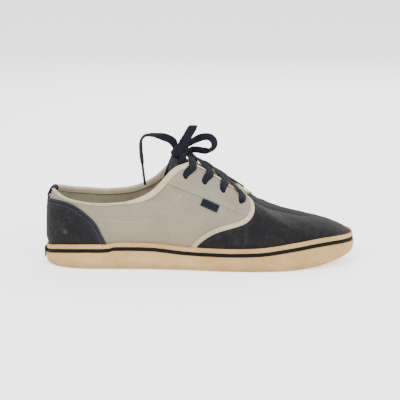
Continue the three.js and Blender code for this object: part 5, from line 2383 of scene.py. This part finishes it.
@dataclass
class Lacing:
    """The laces through the eyelets, the knot and the bow."""

    last: Last
    fields: Fields
    width: float = 8
    thick: float = 1.2
    knot: tuple[float, float, float] = (12, 13, 8)
    tip_length: float = 20
    tip_radius: float = 1.5
    wall: float = 1.8
    tape: float = 0.8
    gap: float = 0.3
    leans: tuple[float, ...] = (9.4, 8.4, 6.4, 5.6)
    rise: float = 3.35
    crown: float = 0.5
    sink: float = 3.2
    under: float = -3.05
    end_round: float = 2.8

    def __post_init__(self) -> None:
        """Finds the eyelets and the knot's middle."""
        sites = self.fields.eyelets()
        self.rows = {-1: sites[:4], 1: sites[4:]}
        lift = self.knot[2] / 2 - self.wall - self.tape - self.gap
        self.middle = self.last.on(np.array(0.462), np.array(-0.03), lift)[0]

    def build(self, palette: Palette) -> None:
        """Makes and dresses the pieces.

        Args:
            palette: The finishes.
        """
        self._crossings(palette)
        knot = self._knot(palette)
        self._free(STANDING, palette, [knot])
        self._free(RING, palette, [])
        self._free(HANGING, palette, [])
        self._free(INNER, palette, [])

    def _band(self, path: Path, width: Array, thick: Array, camber: float = 0.012) -> Shape:
        """A flat lace with its own width and thickness at each point.

        Args:
            path: The line that the lace follows.
            width: The width.
            thick: The thickness.
            camber: How much its edges bend down.

        Returns:
            The closed solid.
        """
        base = lens(1, 1)
        sections = base[None] * np.stack([width, thick], axis=1)[:, None]
        sections[..., 1] -= camber * sections[..., 0] ** 2
        return swept(path, sections)

    def _crossings(self, palette: Palette) -> None:
        """The laces over the throat, which go down into the eyelets.

        Args:
            palette: The finishes.
        """
        bands = []
        bottom = len(EYELETS) - 1
        length = self.last.sole_length
        steps = np.linspace(0, 1, 72)
        stops = (0, 0.17, 0.5, 0.8, 0.95, 1)
        for side in (-1, 1):
            near, far = self.rows[side], self.rows[-side]
            over = 0.75 if side < 0 else -0.65
            for row in range(bottom, 0, -1):
                start, stop = near[row], far[row - 1]
                lean, end_lean = self.leans[row] / length, self.leans[row - 1] / length
                middle = (start[0] + stop[0] + 0.3 * end_lean) / 2
                foot = start[0] if row == bottom else start[0] + lean
                places = (foot, start[0] + lean, middle, stop[0] + end_lean, stop[0], stop[0])
                at = np.interp(steps, stops, places)
                share = 1.04 if row == bottom else 0.84
                across = start[1] * share + (stop[1] * 1.04 - start[1] * share) * steps
                lift = self.rise + over * np.exp(-(((steps - 0.47) / 0.17) ** 2))
                lift -= 0.7 * smooth(0.84, 0.93, steps)
                lift += self.crown * np.exp(-(((steps - 0.5) / 0.24) ** 2))
                if row == bottom:
                    lift -= 0.7 * (1 - smooth(0.05, 0.14, steps)) + self.sink * (1 - smooth(0, 0.045, steps))
                else:
                    lift = self.under + (lift - self.under) * smooth(0.06, 0.24, steps)
                lift -= self.sink * smooth(0.955, 1, steps)
                points, normals = self.last.on(at, across, lift)
                path = Path(points, normals).even(0.9, 6)
                left = path.lengths[-1] - path.lengths
                width = self.width * (1 - 0.26 * (1 - smooth(2, 14, left)))
                width *= np.sqrt(1 - (1 - left / self.end_round).clip(0, 0.93) ** 2)
                if row == bottom:
                    width *= 1 - 0.2 * (1 - smooth(2, 10, path.lengths))
                    width *= np.sqrt(1 - (1 - path.lengths / self.end_round).clip(0, 0.93) ** 2)
                thick = self.thick * (1 + 0.6 * (1 - width / self.width))
                bands.append(self._band(path, width, thick, 0.01))
        for side in (-1, 1):
            at, across = self.rows[side][0]
            first, second = np.array([at, at - 0.004]), np.array([across * 0.86, across * 0.7])
            start, normal = self.last.on(first, second, -3.0)
            ends = np.array([self.middle + (3.5, side * 7.5, -1.2), self.middle + (1.0, side * 2.5, 0.2)])
            points = eased(np.vstack([start, ends]), 24)
            normals = unit(eased(np.vstack([normal, [(0.2, side * 0.35, 1), (0.2, side * 0.2, 1)]]), 24))
            width = self.width * (1 - 0.3 * np.linspace(0, 1, 25))
            bands.append(self._band(Path(points, normals), width, np.full(25, self.thick)))
        piece = palette.dress(bands[0].plus(*bands[1:]), "lace_rows", "lace_cloth", 60)
        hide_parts("lace_crossings")

    def _knot(self, palette: Palette) -> bpy.types.Object:
        """Wraps of lace drawn tight round the bow's middle.

        Args:
            palette: The finishes.

        Returns:
            The piece.
        """
        parts = []
        turns = np.linspace(0, 2 * math.pi, 41)[:-1]
        wraps = (
            ((0.8, 0, -0.6), (0, 1, 0), 6.4, 6.0, (0.4, 0, 0.2), 7.6, 1.6),
            ((0.3, 0.1, 0.95), (0, 1, -0.1), 5.2, 5.4, (3.2, -0.4, -1.4), 7.4, 1.6),
            ((0.95, 0.15, 0.3), (-0.2, 0.95, 0.1), 5.6, 5.0, (-2.0, 0.3, -0.6), 6.6, 1.5),
        )
        for first, second, wide, deep, shift, width, thick in wraps:
            u, v = unit(np.array(first, float)), unit(np.array(second, float))
            ring = self.middle + shift + np.cos(turns)[:, None] * u * wide + np.sin(turns)[:, None] * v * deep
            out = unit(np.cos(turns)[:, None] * u / wide + np.sin(turns)[:, None] * v / deep)
            section = lens(width, thick)
            along = unit(np.roll(ring, -1, axis=0) - np.roll(ring, 1, axis=0))
            across = unit(np.cross(along, out))
            swell = 1 + 0.12 * np.sin(2 * turns + wide)
            wide_of = section[None, :, :1] * swell[:, None, None]
            rings = ring[:, None] + across[:, None] * wide_of + out[:, None] * section[None, :, 1:]
            count, size = rings.shape[:2]
            number = np.arange(count * size).reshape(count, size)
            girth = np.linspace(0, 2 * width, size)
            length = np.linspace(0, 2 * math.pi * wide, count)
            flow = np.stack(np.broadcast_arrays(length[:, None], girth[None, :]), -1).reshape(-1, 2)
            parts.append(Shape(rings.reshape(-1, 3), tube_faces(number, True), flow).outward())
        round_ = np.linspace(0, 2 * math.pi, 33)[:-1]
        theta, phi = np.meshgrid(np.linspace(0, math.pi, 17), round_, indexing="ij")
        ball = np.stack([np.sin(theta) * np.cos(phi), np.sin(theta) * np.sin(phi), np.cos(theta)], -1)
        ball *= np.array(self.knot) * 0.42 * (1 + 0.06 * np.sin(5 * phi + 3 * theta))[..., None]
        number = np.arange(ball.shape[0] * ball.shape[1]).reshape(ball.shape[:2])
        core = ball.reshape(-1, 3) + self.middle
        parts.append(welded(Shape(core, tube_faces(number), core[:, :2].copy())))
        piece = palette.dress(parts[0].plus(*parts[1:]), "bow_knot", "lace_cloth", 60)
        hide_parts("lace_knot")
        return piece

    def _free(self, lace: FreeLace, palette: Palette, with_pieces: list[bpy.types.Object]) -> None:
        """One loop or end, swept as a flat lace.

        Args:
            lace: Its route.
            palette: The finishes.
            with_pieces: What is on it already.
        """
        table = np.array(lace.route, float)
        steps = 64
        points = eased(table[:, :3] + self.middle, steps)
        spot = np.linspace(0, len(table) - 1, steps + 1)
        faces = np.stack([np.interp(spot, np.arange(len(table)), table[:, k]) for k in (3, 4, 5)], axis=1)
        path = Path(points, unit(faces)).even(1.2, 1)
        along = path.along
        path.normals = unit(path.normals - along * np.einsum("ij,ij->i", path.normals, along)[:, None])
        share = path.lengths / path.lengths[-1]
        near = 0.3 * (1 - smooth(0, 0.1, share))
        narrowing, begin = (0.3, 0.92) if lace.end is FarEnd.KNOT else (0.62, 0.95)
        far = narrowing * smooth(begin, 1, share)
        width = self.width * (1 - near - far) * (1 + 0.025 * np.sin(share * 30))
        thick = self.thick * (1 + near + 1.2 * far)
        band = self._band(path, width, thick, 0.008 * math.copysign(1, table[0, 3] + 0.5))
        piece = palette.dress(band, lace.name, "lace_cloth", 60)
        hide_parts(lace.node)
        carried = list(with_pieces)
        if lace.end is FarEnd.TIP:
            carried.append(self._tip(lace, path, palette))

    def _tip(self, lace: FreeLace, path: Path, palette: Palette) -> bpy.types.Object:
        """The rolled tip of a lace.

        Args:
            lace: The lace.
            path: The line that the lace follows.
            palette: The finishes.

        Returns:
            The piece.
        """
        way = unit(path.points[-1] - path.points[-2])
        length = self.tip_length
        reach = np.array([
            -1.5, -1.4, -1.0, 0, 1.2, 1.5, 1.9, 2.2, 3.4, 3.7, 4.1, 4.4, 9, 14,
            length - 3, length - 1.2, length - 0.4, length - 0.05,
        ])
        shape = np.array([0.86, 0.98, 1, 1, 1, 0.93, 0.93, 1, 1, 0.93, 0.93, 1, 1, 0.98, 0.95, 0.9, 0.72, 0.35])
        points = path.points[-1] + way * (reach + self.gap)[:, None]
        line = Path(points, np.repeat(path.normals[-1:], len(points), axis=0))
        angles = np.linspace(0, 2 * math.pi, 20, endpoint=False)
        circle = np.stack([np.cos(angles), 0.82 * np.sin(angles)], axis=1) * self.tip_radius
        tip = swept(line, circle[None] * shape[:, None, None])
        piece = palette.dress(tip, f"{lace.name}_tip", "lace_tip", 50)
        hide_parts(lace.tip_node)
        return piece


@dataclass(frozen=True)
class Seam:
    """A row of stitches: its line, pitch, stitch sizes and thread."""

    name: str
    lines: tuple
    thread: str
    pitch: float = 2.4
    length: float = 1.9
    width: float = 0.5
    rise: float = 0.36


class Stitching:
    """Lays stitches along lines with Geometry Nodes."""

    def __init__(self, palette: Palette) -> None:
        """Builds the tree once.

        Args:
            palette: The finishes.
        """
        self.palette = palette
        self.tree = bpy.data.node_groups.new("stitch row", "GeometryNodeTree")
        face = self.tree.interface
        face.new_socket("Geometry", in_out="INPUT", socket_type="NodeSocketGeometry")
        for name in ("Length", "Width", "Rise"):
            face.new_socket(name, in_out="INPUT", socket_type="NodeSocketFloat")
        face.new_socket("Thread", in_out="INPUT", socket_type="NodeSocketMaterial")
        face.new_socket("Seed", in_out="INPUT", socket_type="NodeSocketInt")
        face.new_socket("Geometry", in_out="OUTPUT", socket_type="NodeSocketGeometry")
        nodes = Nodes(self.tree)
        start, end = nodes.add("NodeGroupInput"), nodes.add("NodeGroupOutput")
        ball = nodes.add("GeometryNodeMeshUVSphere", {"Segments": 6, "Rings": 4, "Radius": 0.5})
        size = nodes.add("ShaderNodeCombineXYZ", {0: start.outputs["Length"], 1: start.outputs["Width"],
                                                  2: start.outputs["Rise"]})
        along = nodes.add("GeometryNodeInputNamedAttribute", {"Name": "along"}, data_type="FLOAT_VECTOR")
        out = nodes.add("GeometryNodeInputNamedAttribute", {"Name": "outward"}, data_type="FLOAT_VECTOR")
        first = nodes.add("FunctionNodeAlignRotationToVector", {"Vector": along.outputs[0]}, axis="X")
        second = nodes.add(
            "FunctionNodeAlignRotationToVector", {"Rotation": first.outputs[0], "Vector": out.outputs[0]},
            axis="Z", pivot_axis="X",
        )
        lean = nodes.add("FunctionNodeRandomValue", {2: -0.12, 3: 0.12, "Seed": start.outputs["Seed"]},
                         data_type="FLOAT")
        yaw = nodes.add("ShaderNodeCombineXYZ", {2: lean.outputs[1]})
        turn = nodes.add("FunctionNodeEulerToRotation", {0: yaw.outputs[0]})
        final = nodes.add("FunctionNodeRotateRotation", {0: second.outputs[0], 1: turn.outputs[0]},
                          rotation_space="LOCAL")
        points = nodes.add("GeometryNodeMeshToPoints", {"Mesh": start.outputs["Geometry"], "Radius": 0.001})
        copies = nodes.add(
            "GeometryNodeInstanceOnPoints",
            {"Points": points.outputs[0], "Instance": ball.outputs[0], "Rotation": final.outputs[0],
             "Scale": size.outputs[0]},
        )
        real = nodes.add("GeometryNodeRealizeInstances", {0: copies.outputs[0]})
        smooth_node = nodes.add("GeometryNodeSetShadeSmooth", {0: real.outputs[0]})
        dressed = nodes.add(
            "GeometryNodeSetMaterial", {"Geometry": smooth_node.outputs[0], "Material": start.outputs["Thread"]}
        )
        self.tree.links.new(dressed.outputs[0], end.inputs["Geometry"])
        self.sockets = {i.name: i.identifier for i in face.items_tree if i.in_out == "INPUT"}

    def sew(self, seam: Seam) -> None:
        """Makes one seam's stitches a plain mesh.

        Args:
            seam: The seam.
        """
        rows = [line.even(seam.pitch, 0) for line in seam.lines]
        points = np.vstack([row.points for row in rows]) * MM
        mesh = bpy.data.meshes.new(seam.name)
        mesh.from_pydata(points.tolist(), [], [])
        for name, values in (("along", [r.along for r in rows]), ("outward", [r.normals for r in rows])):
            attribute = mesh.attributes.new(name, "FLOAT_VECTOR", "POINT")
            attribute.data.foreach_set("vector", np.vstack(values).astype(np.float32).ravel())
        carrier = bpy.data.objects.new(f"{seam.name}_row", mesh)
        bpy.context.scene.collection.objects.link(carrier)
        modifier = carrier.modifiers.new("stitches", "NODES")
        modifier.node_group = self.tree
        thread = self.palette.materials[seam.thread]
        values = {
            "Length": seam.length * MM, "Width": seam.width * MM, "Rise": seam.rise * MM,
            "Thread": thread, "Seed": 7,
        }
        for name, value in values.items():
            modifier[self.sockets[name]] = value
        bpy.context.view_layer.update()
        result = carrier.evaluated_get(bpy.context.evaluated_depsgraph_get())
        plain = bpy.data.meshes.new_from_object(result)
        plain.name = seam.name
        bpy.data.objects.remove(carrier)
        piece = bpy.data.objects.new(seam.name, plain)
        bpy.context.scene.collection.objects.link(piece)
        if not plain.materials:
            plain.materials.append(thread)
        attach(piece, BODY)
        LOG.info("%s: %d stitches", seam.name, len(points))


@dataclass
class Shoe:
    """The whole shoe."""

    last: Last = field(default_factory=Last)

    def build(self) -> None:
        """Makes every sub-assembly in order."""
        palette = Palette()
        fields = Fields(self.last)
        Lacing(self.last, fields).build(palette)
        Sole(self.last).build(palette)
        upper = Upper(self.last, fields)
        upper.build(palette)
        edge = Tongue(self.last, fields).build(upper.skin, palette)
        self._sew(Stitching(palette), upper, fields, edge)

    def _sew(self, stitching: Stitching, upper: Upper, fields: Fields, edge: Path) -> None:
        """Sews the seams that show.

        Args:
            stitching: The sewing.
            upper: The upper, with the lines of its pieces.
            fields: The shoe's lines.
            edge: The line of the tongue's binding.
        """
        top = upper.step + upper.gap + upper.counter_tape_thick + 0.08
        rows = [line.moved(side * 1.55, top) for line in upper.counter_lines for side in (-1, 1)]
        stitching.sew(Seam("counter_stitches", tuple(rows), "blue_thread", 2.2, 1.7, 0.5, 0.35))
        lift = upper.step + upper.tape + 0.38
        rows = [line.moved(side * 1.5, lift) for line in upper.tape_lines.values() for side in (-1, 1)]
        stitching.sew(Seam("tape_stitches", tuple(rows), "beige_thread", 2.3, 1.8, 0.45, 0.35))
        collar = upper.collar_line
        wide, proud = upper.collar_size(collar)
        row = collar.moved(-upper.collar_up * (wide - 0.8), proud + 0.45)
        stitching.sew(Seam("collar_stitches", (row,), "beige_thread", 2.3, 1.8, 0.45, 0.35))
        skin = upper.skin
        seam = fields.over_seam(skin)
        limit = np.minimum(fields.behind_quarter(skin) - 5, -fields.over_collar(skin) - 4)
        # A dark stitch row along the seam under the facings: painted shadow for the thin shadow line under their
        # edge.
        rows = [line.moved(0, 1.2) for line in upper.lines(seam - 0.1, limit)[:2]]
        stitching.sew(Seam("seam_shadow_stitches", tuple(rows), "seam_shadow_thread", 2.2, 2.0, 0.5, 0.3))
        throat = fields.off_throat(skin)
        limit = np.minimum(-fields.over_collar(skin) - 5, fields.behind_quarter(skin) - 6)
        rows = [line.moved(0, 1.9) for line in upper.lines(throat - 2.6, limit)[:2]]
        stitching.sew(Seam("facing_stitches", tuple(rows), "canvas_thread", 2.2, 1.75, 0.42, 0.3))
        rows = []
        for dots in QUARTER_DOTS:
            for side in (-1, 1):
                sites = [fields.site(x * self.last.half_length, fields.throat_top * up, side) for x, up in dots]
                curve = spline(sites, 8)
                points, normals = self.last.on(curve[:, 0], curve[:, 1], upper.step + 0.1)
                rows.append(Path(points, normals).even(1, 1))
        stitching.sew(Seam("quarter_stitches", tuple(rows), "dotted_thread", 3.0, 1.3, 0.75, 0.45))
        label = upper.label_line.moved(0, upper.step + upper.gap + 0.85)
        rows = [label.moved(side * 2.9, 0).part(0.04, 0.96) for side in (-1, 1)]
        stitching.sew(Seam("label_stitches", tuple(rows), "dark_thread", 1.6, 1.2, 0.35, 0.25))
        stitching.sew(Seam("tongue_stitches", (edge.moved(0.9, -3.5),), "dark_thread", 2.4, 1.8, 0.45, 0.35))


@dataclass
class Studio:
    """Camera, floor and light."""

    azimuth: float = 0
    elevation: float = 11.2
    distance: float = 1220
    focal: float = 114.2
    target: tuple[float, float, float] = (0, -3.15, 59.6)

    def build(self, shoe_size: float) -> None:
        """Sets up the studio.

        Args:
            shoe_size: The shoe's length in metres, which the floor is a multiple of.
        """
        scene = bpy.context.scene
        camera = bpy.data.cameras.new("photo_camera")
        camera.lens = self.focal
        camera.sensor_width = 36
        holder = bpy.data.objects.new("photo_camera", camera)
        scene.collection.objects.link(holder)
        turn, lift = math.radians(self.azimuth), math.radians(self.elevation)
        back = Vector((math.sin(turn) * math.cos(lift), -math.cos(turn) * math.cos(lift), math.sin(lift)))
        target = Vector(self.target) * MM
        holder.location = target + back * self.distance * MM
        holder.rotation_euler = back.to_track_quat("Z", "Y").to_euler()
        scene.camera = holder
        self._floor(shoe_size)
        self._light("key_light", (-0.9, -1.2, 1.7), 1.5, 46)
        self._light("fill_light", (1.3, -1.0, 1.1), 1.4, 24)
        self._light("back_light", (0.2, 1.4, 1.3), 1.6, 30)
        world = bpy.data.worlds.new("studio")
        world.use_nodes = True
        world.node_tree.nodes["Background"].inputs[0].default_value = (0.98, 0.99, 1, 1)
        world.node_tree.nodes["Background"].inputs[1].default_value = 1.15
        scene.world = world

    def _floor(self, shoe_size: float) -> None:
        """A pale floor with a faint unevenness.

        Args:
            shoe_size: The shoe's length in metres.
        """
        half = 30 * shoe_size
        mesh = bpy.data.meshes.new("studio_floor")
        corners = [(x * half, y * half, 0) for x, y in ((-1, -1), (1, -1), (1, 1), (-1, 1))]
        mesh.from_pydata(corners, [], [(0, 1, 2, 3)])
        floor = bpy.data.objects.new("studio_floor", mesh)
        bpy.context.scene.collection.objects.link(floor)
        material = bpy.data.materials.new("floor_paper")
        material.use_nodes = True
        nodes = Nodes(material.node_tree)
        shader = material.node_tree.nodes["Principled BSDF"]
        place = nodes.add("ShaderNodeTexCoord").outputs["Object"]
        colour = nodes.mix(nodes.noise(place, 6.0), (0.93, 0.93, 0.93, 1), (0.95, 0.95, 0.945, 1))
        nodes.feed(shader, {
            "Base Color": colour, "Roughness": 0.85, "Emission Color": (1, 1, 1, 1), "Emission Strength": 1.1,
        })
        mesh.materials.append(material)
        floor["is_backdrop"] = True

    @staticmethod
    def _light(name: str, place: tuple[float, float, float], size: float, power: float) -> None:
        """A soft lamp that looks at the shoe.

        Args:
            name: Its name.
            place: Where it hangs.
            size: Its width in metres.
            power: Its power in watts.
        """
        lamp = bpy.data.lights.new(name, "AREA")
        lamp.shape = "DISK"
        lamp.size = size
        lamp.energy = power
        holder = bpy.data.objects.new(name, lamp)
        bpy.context.scene.collection.objects.link(holder)
        holder.location = place
        aim = Vector(place) - Vector((0, 0, 0.05))
        holder.rotation_euler = aim.to_track_quat("Z", "Y").to_euler()


def main() -> None:
    """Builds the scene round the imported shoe."""
    logging.basicConfig(level=logging.INFO, format="%(message)s")
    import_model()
    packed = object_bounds()
    Studio().build(packed[1][0] - packed[0][0])
    Shoe().build()


if __name__ == "__main__":
    main()
